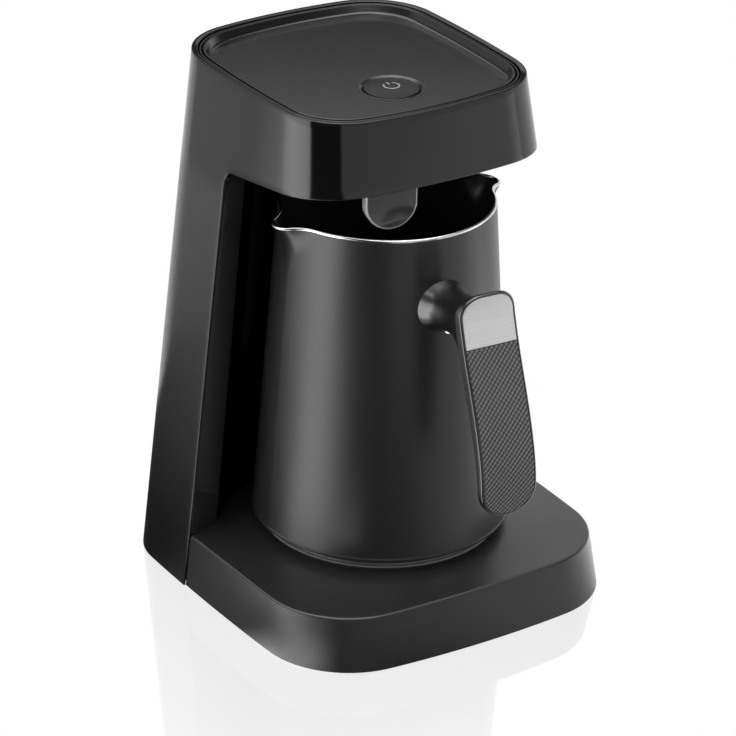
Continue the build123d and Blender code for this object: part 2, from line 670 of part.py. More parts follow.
# ---- Head underside: the plate that closes the overhanging head ----------------------------------
plate_low = under_head(UNDERSIDE_RECESS)
plate_high = under_head(UNDERSIDE_RECESS + UNDERSIDE_THICKNESS)
plate_slab = body_block(178, 212, SHELL_WALL + FIT)
sensor_x_dir = (cos(radians(SENSOR_TURN)), sin(radians(SENSOR_TURN)), 0)
sensor_plane = Plane((SENSOR_X, SENSOR_Y, 0), x_dir=sensor_x_dir, z_dir=(0, 0, 1))
with BuildPart() as head_underside:
    add(plate_slab)
    add(plate_high, mode=Mode.INTERSECT)
    for x, y in HEAD_POSTS:
        with Locations((x, y, head_edge(y) + UNDERSIDE_RECESS + 1)):
            Cylinder(POST_RADIUS + 1, HEAD_POST_LOW - head_edge(y) - UNDERSIDE_RECESS - 1, align=UP)
    add(plate_low, mode=Mode.SUBTRACT)
    for x, y in HEAD_POSTS:
        with Locations((x, y, 150)):
            Cylinder(SCREW_RADIUS + SCREW_GAP, 80, align=UP, mode=Mode.SUBTRACT)
            Cylinder(
                SCREW_HEAD_RADIUS + 0.3,
                head_edge(y) + UNDERSIDE_RECESS + 4 - 150,
                align=UP,
                mode=Mode.SUBTRACT,
            )
    with BuildSketch(sensor_plane.offset(150)):
        Rectangle(SENSOR_WIDTH + 0.3, SENSOR_THICKNESS + 0.3)
    extrude(amount=80, mode=Mode.SUBTRACT)
    with Locations((LOOM_X, LOOM_Y, 150)):
        Cylinder(4.5, 80, align=UP, mode=Mode.SUBTRACT)
save(head_underside, "head_underside")

with BuildPart() as underside_screws:
    for x, y in HEAD_POSTS:
        with Locations((x, y, head_edge(y) + UNDERSIDE_RECESS + 4 - SCREW_HEAD_HEIGHT - 0.1)):
            screw(HEAD_POST_LOW + 7 - head_edge(y) - UNDERSIDE_RECESS - 4)
save(underside_screws, "underside_screws")

# ---- Foam sensor: a smoked lens hanging over the pot's mouth, and its board ----------------------
lens_top = head_edge(SENSOR_Y) + UNDERSIDE_RECESS + UNDERSIDE_THICKNESS + 1.5
with BuildPart() as sensor_lens:
    with BuildSketch(Plane((SENSOR_X, SENSOR_Y, 0), x_dir=sensor_x_dir, z_dir=-sensor_plane.y_dir)):
        with BuildLine():
            side = SENSOR_WIDTH / 2
            foot = SENSOR_BOTTOM + side * 0.85
            Polyline((-side, foot), (-side, lens_top), (side, lens_top), (side, foot))
            ThreePointArc((side, foot), (0, SENSOR_BOTTOM), (-side, foot))
        make_face()
    extrude(amount=SENSOR_THICKNESS / 2, both=True)
save(sensor_lens, "sensor_lens")

with BuildPart() as sensor_board:
    with BuildSketch(sensor_plane.offset(lens_top + 0.1)):
        Rectangle(SENSOR_WIDTH - 2, 6)
    extrude(amount=1.2)
    with BuildSketch(sensor_plane.offset(lens_top + 1.3)):
        with Locations((-6, 0)):
            Rectangle(5, 5)
        with Locations((6, 0)):
            Rectangle(7, 4)
    extrude(amount=2.0)
save(sensor_board, "sensor_board")

# ---- Top tray, flush in the head -----------------------------------------------------------------
groove = SHELL_WALL + RIM_GROOVE
tray_inset = groove + TRIM_WIDTH + RIM_GROOVE
tray_rim = body_block(TRAY_FLANGE_BOTTOM + 0.1, TRAY_TOP, tray_inset)
flange_high = TRAY_FLANGE_BOTTOM + TRAY_FLANGE_THICKNESS
tray_flange = body_block(TRAY_FLANGE_BOTTOM + 0.1, flange_high, SHELL_WALL + FIT)
floor_under = TRAY_FLOOR - TRAY_FLOOR_THICKNESS
tray_under = body_block(TRAY_FLANGE_BOTTOM - 1, floor_under, SHELL_WALL + LEDGE_WIDTH + 0.5)
dish_inset = tray_inset + TRAY_RIM
with BuildPart() as tray_dish:
    loft([plan_outline(TRAY_FLOOR, dish_inset + 2.2), plan_outline(TRAY_TOP, dish_inset)], ruled=True)
    fillet(tray_dish.edges().group_by(Axis.Z)[0], 2.4)
bezel_bore = DISH_RADIUS + 0.05
with BuildPart() as top_tray:
    add(tray_rim)
    fillet(top_tray.edges().group_by(Axis.Z)[-1], 0.4)
    add(tray_flange)
    add(tray_under, mode=Mode.SUBTRACT)
    add(tray_dish.part, mode=Mode.SUBTRACT)
    with Locations((0, BUTTON_Y, 200)):
        Cylinder(bezel_bore, 40, align=UP, mode=Mode.SUBTRACT)
    with Locations(*[(x, y, HEAD_POST_LOW + 0.1) for x, y in HEAD_POSTS]):
        Cylinder(POST_RADIUS, floor_under - HEAD_POST_LOW + 0.3, align=UP)
    with Locations(*[(x, y, BOARD_TOP + 0.05) for x, y in BOARD_POSTS]):
        Cylinder(POST_RADIUS - 1, floor_under - BOARD_TOP + 0.3, align=UP)
    with Locations(*[(x, y, HEAD_POST_LOW) for x, y in HEAD_POSTS]):
        Cylinder(SCREW_RADIUS + SCREW_GAP, 9, align=UP, mode=Mode.SUBTRACT)
    with Locations(*[(x, y, BOARD_TOP) for x, y in BOARD_POSTS]):
        Cylinder(1.3, 8, align=UP, mode=Mode.SUBTRACT)
save(top_tray, "top_tray")

# ---- Bright trim ring between the shell and the tray ---------------------------------------------
trim_outer = body_block(flange_high + 0.1, BODY_HEIGHT - 0.2, groove)
trim_inner = body_block(TRAY_FLANGE_BOTTOM, BODY_HEIGHT + 1, groove + TRIM_WIDTH)
with BuildPart() as top_trim_ring:
    add(trim_outer)
    add(trim_inner, mode=Mode.SUBTRACT)
save(top_trim_ring, "top_trim_ring")

# ---- Button and its bezel ------------------------------------------------------------------------
flange_top = BEZEL_BOTTOM - FIT
with BuildPart() as button_bezel:
    with BuildSketch(Plane.XZ.offset(-BUTTON_Y)):
        with BuildLine():
            Polyline(
                (BUTTON_RADIUS + 0.35, BEZEL_BOTTOM),
                (BUTTON_RADIUS + 0.35, TRAY_FLOOR - DISH_DEPTH),
                (DISH_RADIUS - 0.5, TRAY_FLOOR + 0.2),
                (DISH_RADIUS, TRAY_FLOOR + 0.2),
                (DISH_RADIUS, floor_under - 0.1),
                (DISH_RADIUS + 2, floor_under - 0.1),
                (DISH_RADIUS + 2, BEZEL_BOTTOM),
                (BUTTON_RADIUS + 0.35, BEZEL_BOTTOM),
            )
        make_face()
    revolve(axis=BUTTON_AXIS)
save(button_bezel, "button_bezel")

with BuildPart() as power_button:
    with BuildSketch(Plane.XZ.offset(-BUTTON_Y)):
        with BuildLine():
            lens = ThreePointArc(
                (0, TRAY_FLOOR + BUTTON_PROUD),
                (BUTTON_RADIUS * 0.6, TRAY_FLOOR + BUTTON_PROUD * 0.64),
                (BUTTON_RADIUS, TRAY_FLOOR),
            )
            Polyline(
                lens @ 1,
                (BUTTON_RADIUS, flange_top),
                (BUTTON_RADIUS + BUTTON_FLANGE, flange_top),
                (BUTTON_RADIUS + BUTTON_FLANGE, flange_top - BUTTON_FLANGE),
                (BUTTON_STEM_RADIUS, flange_top - BUTTON_FLANGE),
                (BUTTON_STEM_RADIUS, SWITCH_TOP + BUTTON_TRAVEL + 0.1),
                (0, SWITCH_TOP + BUTTON_TRAVEL + 0.1),
                lens @ 0,
            )
        make_face()
    revolve(axis=BUTTON_AXIS)
save(power_button, "power_button")

spring_floor = BOARD_TOP + 0.5
spring_roof = flange_top - BUTTON_FLANGE - 0.45
with BuildPart() as button_spring:
    with BuildLine():
        coil = Helix(
            pitch=(spring_roof - spring_floor) / 4,
            height=spring_roof - spring_floor,
            radius=5.2,
            center=(0, BUTTON_Y, spring_floor),
        )
    with BuildSketch(Plane(coil @ 0, z_dir=coil % 0)):
        Circle(SPRING_WIRE)
    sweep(path=coil)
save(button_spring, "button_spring")

# ---- Control board under the tray ----------------------------------------------------------------
board_low = BOARD_TOP - BOARD_THICKNESS
with BuildPart() as control_board:
    with Locations((0, 9, board_low)):
        Box(BOARD_LENGTH, BOARD_WIDTH, BOARD_THICKNESS, align=UP)
    with Locations(*[(x, y, 150) for x, y in BOARD_POSTS]):
        Cylinder(SCREW_RADIUS + 0.2, 80, align=UP, mode=Mode.SUBTRACT)
save(control_board, "control_board")

with BuildPart() as board_screws:
    for x, y in BOARD_POSTS:
        with Locations((x, y, board_low - 0.1 - SCREW_HEAD_HEIGHT)):
            Cylinder(SCREW_HEAD_RADIUS, SCREW_HEAD_HEIGHT, align=UP)
            Cylinder(1.2, SCREW_HEAD_HEIGHT + 7.5, align=UP)
save(board_screws, "board_screws")

chip_z = BOARD_TOP + 0.1
with BuildPart() as tact_switch:
    with Locations((0, BUTTON_Y, chip_z)):
        Box(6, 6, 3.4, align=UP)
        Cylinder(1.6, SWITCH_TOP - chip_z, align=UP)
save(tact_switch, "tact_switch")

with BuildPart() as board_chips:
    with Locations((16, 12, chip_z)):
        Box(9, 9, 1.4, align=UP)
    with Locations((-15, 15, chip_z)):
        Box(7, 5, 1.4, align=UP)
    with Locations((15, -4, chip_z)):
        Box(5, 4, 1.4, align=UP)
    with Locations((0, 28, chip_z)):
        Box(13, 6, 5, align=UP)
save(board_chips, "board_chips")

with BuildPart() as buzzer:
    with Locations((-19, 3, chip_z)):
        Cylinder(6, 8, align=UP)
        Cylinder(1, 9, align=UP, mode=Mode.SUBTRACT)
save(buzzer, "buzzer")

with BuildPart() as status_leds:
    with Locations((9, 22, chip_z), (-9, 22, chip_z)):
        Cylinder(1.5, 5, align=UP)
    fillet(status_leds.edges().group_by(Axis.Z)[-1], 1.2)
save(status_leds, "status_leds")

# ---- Wiring loom up the tower --------------------------------------------------------------------
with BuildPart() as wiring_loom:
    with BuildLine() as route:
        climb = Polyline(
            (LOOM_X, BOARD_Y + 9.5, 12.5),
            (LOOM_X, LOOM_Y, 12.5),
            (LOOM_X, LOOM_Y, 211.5),
            (LOOM_X, 31.6, 211.5),
        )
        fillet(route.vertices(), 5)
    with BuildSketch(Plane((LOOM_X, BOARD_Y + 9.5, 12.5), x_dir=(1, 0, 0), z_dir=(0, 1, 0))):
        Circle(LOOM_RADIUS)
    sweep(path=route.wires()[0])
save(wiring_loom, "wiring_loom")

# ---- Pot frame: the lift-off pot is turned a little on its seat -----------------------------------
POT_X_DIR = (cos(radians(POT_TURN)), sin(radians(POT_TURN)), 0)
POT_OUT_DIR = (sin(radians(POT_TURN)), -cos(radians(POT_TURN)), 0)
handle_side = Plane((0, POT_Y, 0), x_dir=POT_OUT_DIR, z_dir=(-POT_X_DIR[0], -POT_X_DIR[1], 0))
handle_front = Plane((0, POT_Y, 0), x_dir=POT_X_DIR, z_dir=POT_OUT_DIR)


def pot_radius(height):
    share = (height - POT_SKIRT) / (POT_TOP - POT_SKIRT)
    return POT_RADIUS_BOTTOM + (POT_RADIUS_TOP - POT_RADIUS_BOTTOM) * share


def pot_outline(height, inset):
    """Plan of the pot at one height: a circle drawn out into a hollow-sided spout on each side."""
    rise = (height - SPOUT_START) / (POT_TOP - SPOUT_START)
    main = pot_radius(height) - inset
    reach = pot_radius(height) + 0.1 + (SPOUT_REACH - POT_RADIUS_TOP) * rise ** 1.7 - inset
    tip = SPOUT_TIP_LOW + (SPOUT_TIP - SPOUT_TIP_LOW) * rise - inset
    hollow = SPOUT_HOLLOW_LOW + (SPOUT_HOLLOW - SPOUT_HOLLOW_LOW) * rise + inset
    tip_x = reach - tip
    hollow_x = ((main + hollow) ** 2 - (tip + hollow) ** 2 + tip_x ** 2) / (2 * tip_x)
    hollow_y = ((main + hollow) ** 2 - hollow_x ** 2) ** 0.5
    share = main / (main + hollow)
    on_main = (hollow_x * share, hollow_y * share)
    share = tip / (tip + hollow)
    on_tip = (tip_x + (hollow_x - tip_x) * share, hollow_y * share)
    middle_x = (on_main[0] + on_tip[0]) / 2 - hollow_x
    middle_y = (on_main[1] + on_tip[1]) / 2 - hollow_y
    share = hollow / (middle_x ** 2 + middle_y ** 2) ** 0.5
    on_hollow = (hollow_x + middle_x * share, hollow_y + middle_y * share)
    with BuildSketch(Plane((0, POT_Y, height), x_dir=POT_X_DIR, z_dir=(0, 0, 1))) as outline:
        with BuildLine():
            for x, y in ((1, 1), (-1, -1)):
                ThreePointArc(
                    (on_main[0] * x, on_main[1] * y),
                    (0, main * y),
                    (-on_main[0] * x, on_main[1] * y),
                )
                ThreePointArc(
                    (-on_main[0] * x, on_main[1] * y),
                    (-on_hollow[0] * x, on_hollow[1] * y),
                    (-on_tip[0] * x, on_tip[1] * y),
                )
                ThreePointArc(
                    (-on_tip[0] * x, on_tip[1] * y),
                    (-reach * x, 0),
                    (-on_tip[0] * x, -on_tip[1] * y),
                )
                ThreePointArc(
                    (-on_tip[0] * x, -on_tip[1] * y),
                    (-on_hollow[0] * x, -on_hollow[1] * y),
                    (-on_main[0] * x, -on_main[1] * y),
                )
        make_face()
    return outline.sketch


def pot_block(low, inset):
    """The pot's tapered body with its spouts, above low, inset evenly."""
    with BuildPart() as cone:
        with Locations((0, POT_Y, low)):
            Cone(pot_radius(low) - inset, pot_radius(SPOUT_START) - inset, SPOUT_START - low, align=UP)
        loft([pot_outline(height, inset) for height in SPOUT_LEVELS], ruled=True)
    return cone.part


# ---- Pot shell: one drawn wall and floor, with two pulled spouts ---------------------------------
with BuildPart() as pot_shell:
    add(pot_block(POT_SKIRT, 0))
    add(pot_block(POT_FLOOR + POT_WALL, POT_WALL), mode=Mode.SUBTRACT)
    with Locations((0, POT_Y, POT_SKIRT)):
        Cylinder(pot_radius(POT_FLOOR) - POT_WALL - 0.1, POT_FLOOR - POT_SKIRT, align=UP, mode=Mode.SUBTRACT)
    for side in (-1, 1):
        with BuildSketch(handle_front):
            with BuildLine():
                dip = ThreePointArc(
                    (side * SPOUT_CUT, POT_TOP),
                    (side * (SPOUT_CUT * 0.4 + SPOUT_REACH * 0.6), POT_TOP - SPOUT_DIP * 0.42),
                    (side * (SPOUT_REACH + 1), POT_TOP - SPOUT_DIP),
                )
                Polyline(
                    dip @ 1,
                    (side * (SPOUT_REACH + 1), POT_TOP + 2),
                    (side * SPOUT_CUT, POT_TOP + 2),
                    dip @ 0,
                )
            make_face()
        extrude(amount=60, both=True, mode=Mode.SUBTRACT)
save(pot_shell, "pot_shell")

with BuildPart() as pot_base_disc:
    with Locations((0, POT_Y, POT_SKIRT)):
        Cylinder(DISC_RADIUS, POT_FLOOR - POT_SKIRT - 0.1, align=UP)
    chamfer(pot_base_disc.edges().group_by(Axis.Z)[0], 0.4)
save(pot_base_disc, "pot_base_disc")

with BuildPart() as pot_foot_ring:
    with Locations((0, POT_Y, POT_SKIRT)):
        Cylinder(DISC_RADIUS + 0.2 + RING_WIDTH, POT_FLOOR - POT_SKIRT - 0.1, align=UP)
        Cylinder(DISC_RADIUS + 0.2, 10, align=UP, mode=Mode.SUBTRACT)
save(pot_foot_ring, "pot_foot_ring")

# ---- Handle: a bowed paddle on a round stem -------------------------------------------------------
def stem_centre(rho):
    return STEM_HEIGHT + STEM_RISE * (rho - 44.0) / 36.5


with BuildPart() as paddle:
    with BuildSketch(handle_side):
        with BuildLine():
            Spline(*PADDLE_FRONT)
            Line(PADDLE_FRONT[-1], PADDLE_REAR[0])
            Spline(*PADDLE_REAR)
            Line(PADDLE_REAR[-1], PADDLE_FRONT[0])
        make_face()
    extrude(amount=HANDLE_WIDTH, both=True)


def paddle_face(inset):
    """The paddle's front outline, inset evenly."""
    height = HANDLE_TOP - HANDLE_BOTTOM - 2 * inset
    with BuildSketch(handle_front) as face:
        with Locations((0, (HANDLE_TOP + HANDLE_BOTTOM) / 2)):
            Rectangle(HANDLE_WIDTH - 2 * inset, height)
        fillet(face.vertices().group_by(Axis.Y)[-1], HANDLE_TOP_CORNER - inset)
        fillet(face.vertices().group_by(Axis.Y)[0], HANDLE_BOTTOM_CORNER - inset)
    with BuildPart() as prism:
        extrude(face.sketch, amount=FAR)
    return prism.part


outer_face = paddle_face(0)
insert_pocket = paddle_face(INSERT_MARGIN)
insert_face = paddle_face(INSERT_MARGIN + INSERT_GAP)
pocket_depth = INSERT_DEPTH + INSERT_GAP
inward = Vector(-POT_OUT_DIR[0], -POT_OUT_DIR[1], 0)
back_of_pocket = paddle.part.moved(Location(inward * pocket_depth))
back_of_insert = paddle.part.moved(Location(inward * INSERT_DEPTH))
with BuildPart() as pocket:
    add(paddle.part)
    add(insert_pocket, mode=Mode.INTERSECT)
    add(back_of_pocket, mode=Mode.SUBTRACT)

pot_cone = pot_block(POT_SKIRT, -0.05)
stud_low = stem_centre(52) - STUD_RADIUS
with BuildPart() as handle_body:
    add(paddle.part)
    add(outer_face, mode=Mode.INTERSECT)
    with BuildPart(mode=Mode.PRIVATE) as stem:
        sections = []
        for rho, radius in STEM:
            centre = handle_side.from_local_coords((rho, stem_centre(rho), 0))
            with BuildSketch(Plane(centre, x_dir=POT_X_DIR, z_dir=POT_OUT_DIR)) as section:
                Circle(radius)
            sections.append(section.sketch)
        loft(sections)
    add(stem.part)
    add(pocket.part, mode=Mode.SUBTRACT)
    add(pot_cone, mode=Mode.SUBTRACT)
    with BuildSketch(handle_front.offset(40)):
        with Locations((0, STEM_HEIGHT + 1.5)):
            Circle(STUD_RADIUS + 0.1)
    extrude(amount=STUD_LENGTH + 10.2, mode=Mode.SUBTRACT)
    screw_at = handle_side.from_local_coords((54.5, 0, 0))
    with Locations((screw_at.X, screw_at.Y, STEM_HEIGHT - 20)):
        Cylinder(HANDLE_BOLT_RADIUS + 0.1, 20, align=UP, mode=Mode.SUBTRACT)
        Cylinder(HANDLE_BOLT_RADIUS + 1.7, 20 - STUD_RADIUS - 1.2, align=UP, mode=Mode.SUBTRACT)
save(handle_body, "handle_body")

split_high = CAP_SPLIT + INSERT_GAP
split_low = CAP_SPLIT - INSERT_GAP
with BuildPart() as insert_layer:
    add(paddle.part)
    add(insert_face, mode=Mode.INTERSECT)
    add(back_of_insert, mode=Mode.SUBTRACT)
with BuildPart() as handle_cap:
    add(insert_layer.part)
    with Locations((0, -80, split_high)):
        Box(200, 200, FAR, align=(Align.CENTER, Align.CENTER, Align.MAX), mode=Mode.SUBTRACT)
save(handle_cap, "handle_cap")
with BuildPart() as handle_grip:
    add(insert_layer.part)
    with Locations((0, -80, split_low)):
        Box(200, 200, FAR, align=UP, mode=Mode.SUBTRACT)
save(handle_grip, "handle_grip")

# ---- Handle stud welded to the pot, and the screw that holds the stem on it ----------------------
with BuildPart() as handle_stud:
    with BuildSketch(handle_front.offset(42)):
        with Locations((0, STEM_HEIGHT + 1.5)):
            Circle(STUD_RADIUS)
    extrude(amount=STUD_LENGTH + 8)
    add(pot_cone, mode=Mode.SUBTRACT)
    with Locations((screw_at.X, screw_at.Y, STEM_HEIGHT - 20)):
        Cylinder(HANDLE_BOLT_RADIUS + 0.05, 20, align=UP, mode=Mode.SUBTRACT)
save(handle_stud, "handle_stud")

bolt_low = STEM_HEIGHT - STUD_RADIUS - 1.2 - 2.0
with BuildPart() as handle_screw:
    with Locations((screw_at.X, screw_at.Y, bolt_low)):
        Cylinder(HANDLE_BOLT_RADIUS + 1.5, 1.9, align=UP)
        Cylinder(HANDLE_BOLT_RADIUS, STEM_HEIGHT - bolt_low - 0.2, align=UP)
        Cylinder(1.2, 1.2, align=UP, mode=Mode.SUBTRACT)
save(handle_screw, "handle_screw")
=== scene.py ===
import bpy
import bmesh
import math
from mathutils import Matrix, Vector


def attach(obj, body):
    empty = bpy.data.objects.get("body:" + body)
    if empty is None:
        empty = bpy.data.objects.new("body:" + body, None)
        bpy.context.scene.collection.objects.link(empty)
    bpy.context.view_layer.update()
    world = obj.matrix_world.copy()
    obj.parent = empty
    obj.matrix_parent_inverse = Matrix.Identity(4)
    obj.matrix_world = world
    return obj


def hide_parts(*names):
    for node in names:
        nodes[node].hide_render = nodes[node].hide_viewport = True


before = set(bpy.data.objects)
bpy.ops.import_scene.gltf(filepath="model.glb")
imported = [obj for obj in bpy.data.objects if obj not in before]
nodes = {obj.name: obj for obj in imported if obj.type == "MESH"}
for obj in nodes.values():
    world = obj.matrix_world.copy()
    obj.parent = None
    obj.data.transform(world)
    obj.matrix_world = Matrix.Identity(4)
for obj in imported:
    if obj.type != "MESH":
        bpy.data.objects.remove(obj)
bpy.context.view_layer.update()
MM = 0.001
FULL_TURN = 2 * math.pi
WHITE = (1.0, 1.0, 1.0, 1.0)


# ---- White sweep -----------------------------------------------------------------------------
# The white table that the machine stands on.  To the eye it is plain white with a faint
# upside-down image of the machine near its foot; glossy walls see it lit in broad bands.
REFLECTED = 6.0  # the brightest level that a band may have


class Wire:
    """A socket that takes part in Python arithmetic, adding the nodes it needs."""

    def __init__(self, tree, socket):
        self.tree = tree
        self.socket = socket

    def math(self, operation, *others):
        made = Graph(self.tree).node("ShaderNodeMath", dict(operation=operation))
        for place, value in zip(made.inputs, (self, *others)):
            feed(self.tree, place, value)
        return Wire(self.tree, made.outputs[0])

    __add__ = __radd__ = lambda self, other: self.math("ADD", other)
    __sub__ = lambda self, other: self.math("SUBTRACT", other)
    __rsub__ = lambda self, other: self.math("MULTIPLY", -1.0).math("ADD", other)
    __mul__ = __rmul__ = lambda self, other: self.math("MULTIPLY", other)
    __truediv__ = lambda self, other: self.math("DIVIDE", other)
    __pow__ = lambda self, other: self.math("POWER", other)

    def step(self, low, high):
        """Rises smoothly from 0 at low to 1 at high."""
        return Graph(self.tree).out("ShaderNodeMapRange", "Result", dict(interpolation_type="SMOOTHSTEP"),
                                    Value=self, From_Min=low, From_Max=high)

    def mix(self, other, share):
        """This value where share is 0, the other where it is 1."""
        return self * (1.0 - share) + other * share

    def bands(self, stops):
        """Looks a turn up in a table of (degrees, level) stops, in straight runs."""
        ramp = Graph(self.tree).node("ShaderNodeValToRGB", Fac=self)
        table = ramp.color_ramp.elements
        places = [angle / 360 for angle, _ in stops]
        table[0].position, table[1].position = places[0], places[-1]
        for place in places[1:-1]:
            table.new(place)
        for entry, (_, level) in zip(table, stops):
            entry.color = (*[level / REFLECTED] * 3, 1.0)
        return Wire(self.tree, ramp.outputs[0]) * REFLECTED


def feed(tree, place, value):
    """Links a wire to a socket, or sets a plain value on it."""
    if isinstance(value, Wire):
        tree.links.new(value.socket, place)
    else:
        place.default_value = value


class Graph:
    """A node tree under construction."""

    def __init__(self, tree):
        self.tree = tree

    def node(self, kind, settings=None, **sockets):
        """A new node: its settings are made first, then its sockets are linked or set."""
        made = self.tree.nodes.new(kind)
        for key, value in (settings or {}).items():
            setattr(made, key, value)
        for key, value in sockets.items():
            feed(self.tree, made.inputs[key.replace("_", " ")], value)
        return made

    def out(self, kind, output, settings=None, **sockets):
        """One output of a new node."""
        return Wire(self.tree, self.node(kind, settings, **sockets).outputs[output])

    def split(self, vector):
        parts = self.node("ShaderNodeSeparateXYZ", Vector=vector)
        return [Wire(self.tree, part) for part in parts.outputs]

    def join(self, x, y, z):
        return self.out("ShaderNodeCombineXYZ", 0, X=x, Y=y, Z=z)

    def either(self, share, first, second):
        """One surface where share is 0 and another where it is 1."""
        mixer = self.node("ShaderNodeMixShader")
        for place, source in zip(mixer.inputs, (share.socket, first.outputs[0], second.outputs[0])):
            self.tree.links.new(source, place)
        return mixer

    def rays(self):
        """Two switches: rays from the camera, and rays from polished or clear surfaces."""
        kinds = self.node("ShaderNodeLightPath").outputs
        eye, gloss, through = (Wire(self.tree, kinds[f"Is {kind} Ray"])
                               for kind in ("Camera", "Glossy", "Transmission"))
        return eye, gloss.math("MAXIMUM", through)

    def show(self, node, output="Material Output"):
        self.tree.links.new(node.outputs[0], self.tree.nodes[output].inputs["Surface"])


class Finish(Graph):
    """A material under construction: one Principled surface and the nodes that vary it."""

    def __init__(self, name, color=(0.8, 0.8, 0.8), **sockets):
        self.material = bpy.data.materials.new(name)
        self.material.use_nodes = True
        super().__init__(self.material.node_tree)
        self.surface = self.tree.nodes["Principled BSDF"]
        self.color = color
        self.surface.inputs["Base Color"].default_value = (*color, 1.0)
        for socket, value in sockets.items():
            self.surface.inputs[socket.replace("_", " ")].default_value = value

    def place(self):
        return self.out("ShaderNodeTexCoord", "Object")

    def axes(self):
        return self.split(self.place())

    def noise(self, scale, detail=2.0, at=None, **sockets):
        where = at or self.place()
        return self.out("ShaderNodeTexNoise", "Fac", Vector=where, Scale=scale, Detail=detail, **sockets)

    def glow(self, strength=1.0):
        return self.node("ShaderNodeEmission", Color=WHITE, Strength=strength)

    def blend(self, share, first, second):
        """Mixes two colours by share."""
        made = self.node("ShaderNodeMix", dict(data_type="RGBA"))
        self.tree.links.new(share.socket, made.inputs[0])
        for place, value in ((made.inputs[6], first), (made.inputs[7], second)):
            feed(self.tree, place, value if isinstance(value, Wire) else (*value, 1.0))
        return Wire(self.tree, made.outputs[2])

    def set(self, socket, value):
        self.tree.links.new(value.socket, self.surface.inputs[socket])

    def tint(self, share, second):
        """Colours the surface from its own colour to a second one by share."""
        self.set("Base Color", self.blend(share, self.color, second))

    def bump(self, height, distance, strength=1.0):
        self.set("Normal", self.out("ShaderNodeBump", "Normal", Height=height, Strength=strength,
                                    Distance=distance))

    def wear(self, scale, detail, rough, shade=None, second=None, bump=None):
        """One grain all over: it varies the roughness, given as (least, spread), tints the surface
        to a second colour over the run of shade, and dents it by bump, if these are given."""
        grain = self.noise(scale, detail)
        self.set("Roughness", rough[0] + grain * rough[1])
        if bump:
            self.bump(grain, *bump)
        if shade:
            self.tint(grain.step(*shade), second)
        return self


def grey(level, cool=0.0005):
    """A neutral colour with a trace more blue."""
    return (level, level, level + cool)


def turn_of(across, along):
    """The direction round the machine, from 0 to 1."""
    return (along.math("ARCTAN2", across) / FULL_TURN + 1.0).math("FRACT")


def placed(name, data):
    made = bpy.data.objects.new(name, data)
    bpy.context.scene.collection.objects.link(made)
    return made


def studio_sheet(name, corners, finish):
    """A flat four-cornered sheet that belongs to the studio and not to the machine."""
    mesh = bpy.data.meshes.new(name)
    mesh.from_pydata(corners, [], [(0, 1, 2, 3)])
    mesh.materials.append(finish.material)
    made = placed(name, mesh)
    return made


FLOOR_FAR = [
    (0, 2.0), (24, 1.9), (45, 0.7), (60, 0.25), (100, 0.35), (117, 0.68), (131, 0.75), (138, 1.8),
    (146, 3.0), (160, 4.2), (180, 4.0), (188, 3.4), (192, 0.04), (237, 0.03), (243, 0.78),
    (300, 0.88), (318, 1.0), (326, 1.4), (342, 1.8), (360, 2.0),
]
# Close to the machine's foot (FLOOR_NEAR, FLOOR_FOOT) the bands are a painted shadow at most turns, darker
# than farther out, and a painted pool of light at a few turns.
FLOOR_NEAR = [
    (0, 1.6), (24, 1.5), (45, 0.5), (60, 0.3), (100, 0.03), (132, 0.08), (144, 0.12), (153, 0.4),
    (161, 2.2), (167, 3.8), (186, 4.0), (195, 2.4), (202, 1.4), (208, 0.04), (252, 0.04),
    (266, 0.25), (290, 0.7), (318, 1.0), (342, 1.9), (360, 1.9),
]
FLOOR_FOOT = [
    (0, 1.6), (24, 1.3), (45, 0.3), (60, 0.1), (100, 0.03), (140, 0.05), (155, 0.20), (186, 0.28),
    (196, 2.0), (203, 4.2), (213, 4.4), (218, 2.0), (224, 0.08), (245, 0.05), (262, 0.25),
    (290, 0.7), (318, 1.0), (342, 1.9), (360, 1.9),
]
FLOOR_REACH = 3.0
BAND_REACH = 0.66
FOOT_HALF_X, FOOT_HALF_Y, FOOT_Y = 0.080, 0.084, 0.012
REAR_TURN = math.radians(56.0)
sweep = Finish("white_sweep", grey(0.82, 0.01), Roughness=0.35)
x, y = sweep.axes()[:2]
outside_x = (x.math("ABSOLUTE") - FOOT_HALF_X).math("MAXIMUM", 0.0)
outside_y = ((y - FOOT_Y).math("ABSOLUTE") - FOOT_HALF_Y).math("MAXIMUM", 0.0)
away = (outside_x ** 2.0 + outside_y ** 2.0) ** 0.5
ahead = x * math.cos(REAR_TURN) + y * math.sin(REAR_TURN)
fade = (1.0 - away.step(0.0, 0.13)) * 0.13 + (1.0 - away.step(0.0, 0.3)) * 0.05
image_strength = fade * (1.0 - ahead.step(0.10, 0.165))
turn = turn_of(x, y)
open_floor = turn.bands(FLOOR_NEAR).mix(turn.bands(FLOOR_FAR), away.step(0.0, BAND_REACH))
lit = turn.bands(FLOOR_FOOT).mix(open_floor, away.step(0.02, 0.09))
to_eye, to_gloss = sweep.rays()
polish = sweep.node("ShaderNodeBsdfGlossy", Color=WHITE, Roughness=0.04)
shown = sweep.either(image_strength, sweep.glow(), polish)
felt = sweep.either(to_gloss, sweep.surface, sweep.glow(lit))
sweep.show(sweep.either(to_eye, felt, shown))
corners = [(-1, -1), (1, -1), (1, 1), (-1, 1)]
studio_sheet("floor", [(a * FLOOR_REACH, b * FLOOR_REACH, 0) for a, b in corners], sweep)


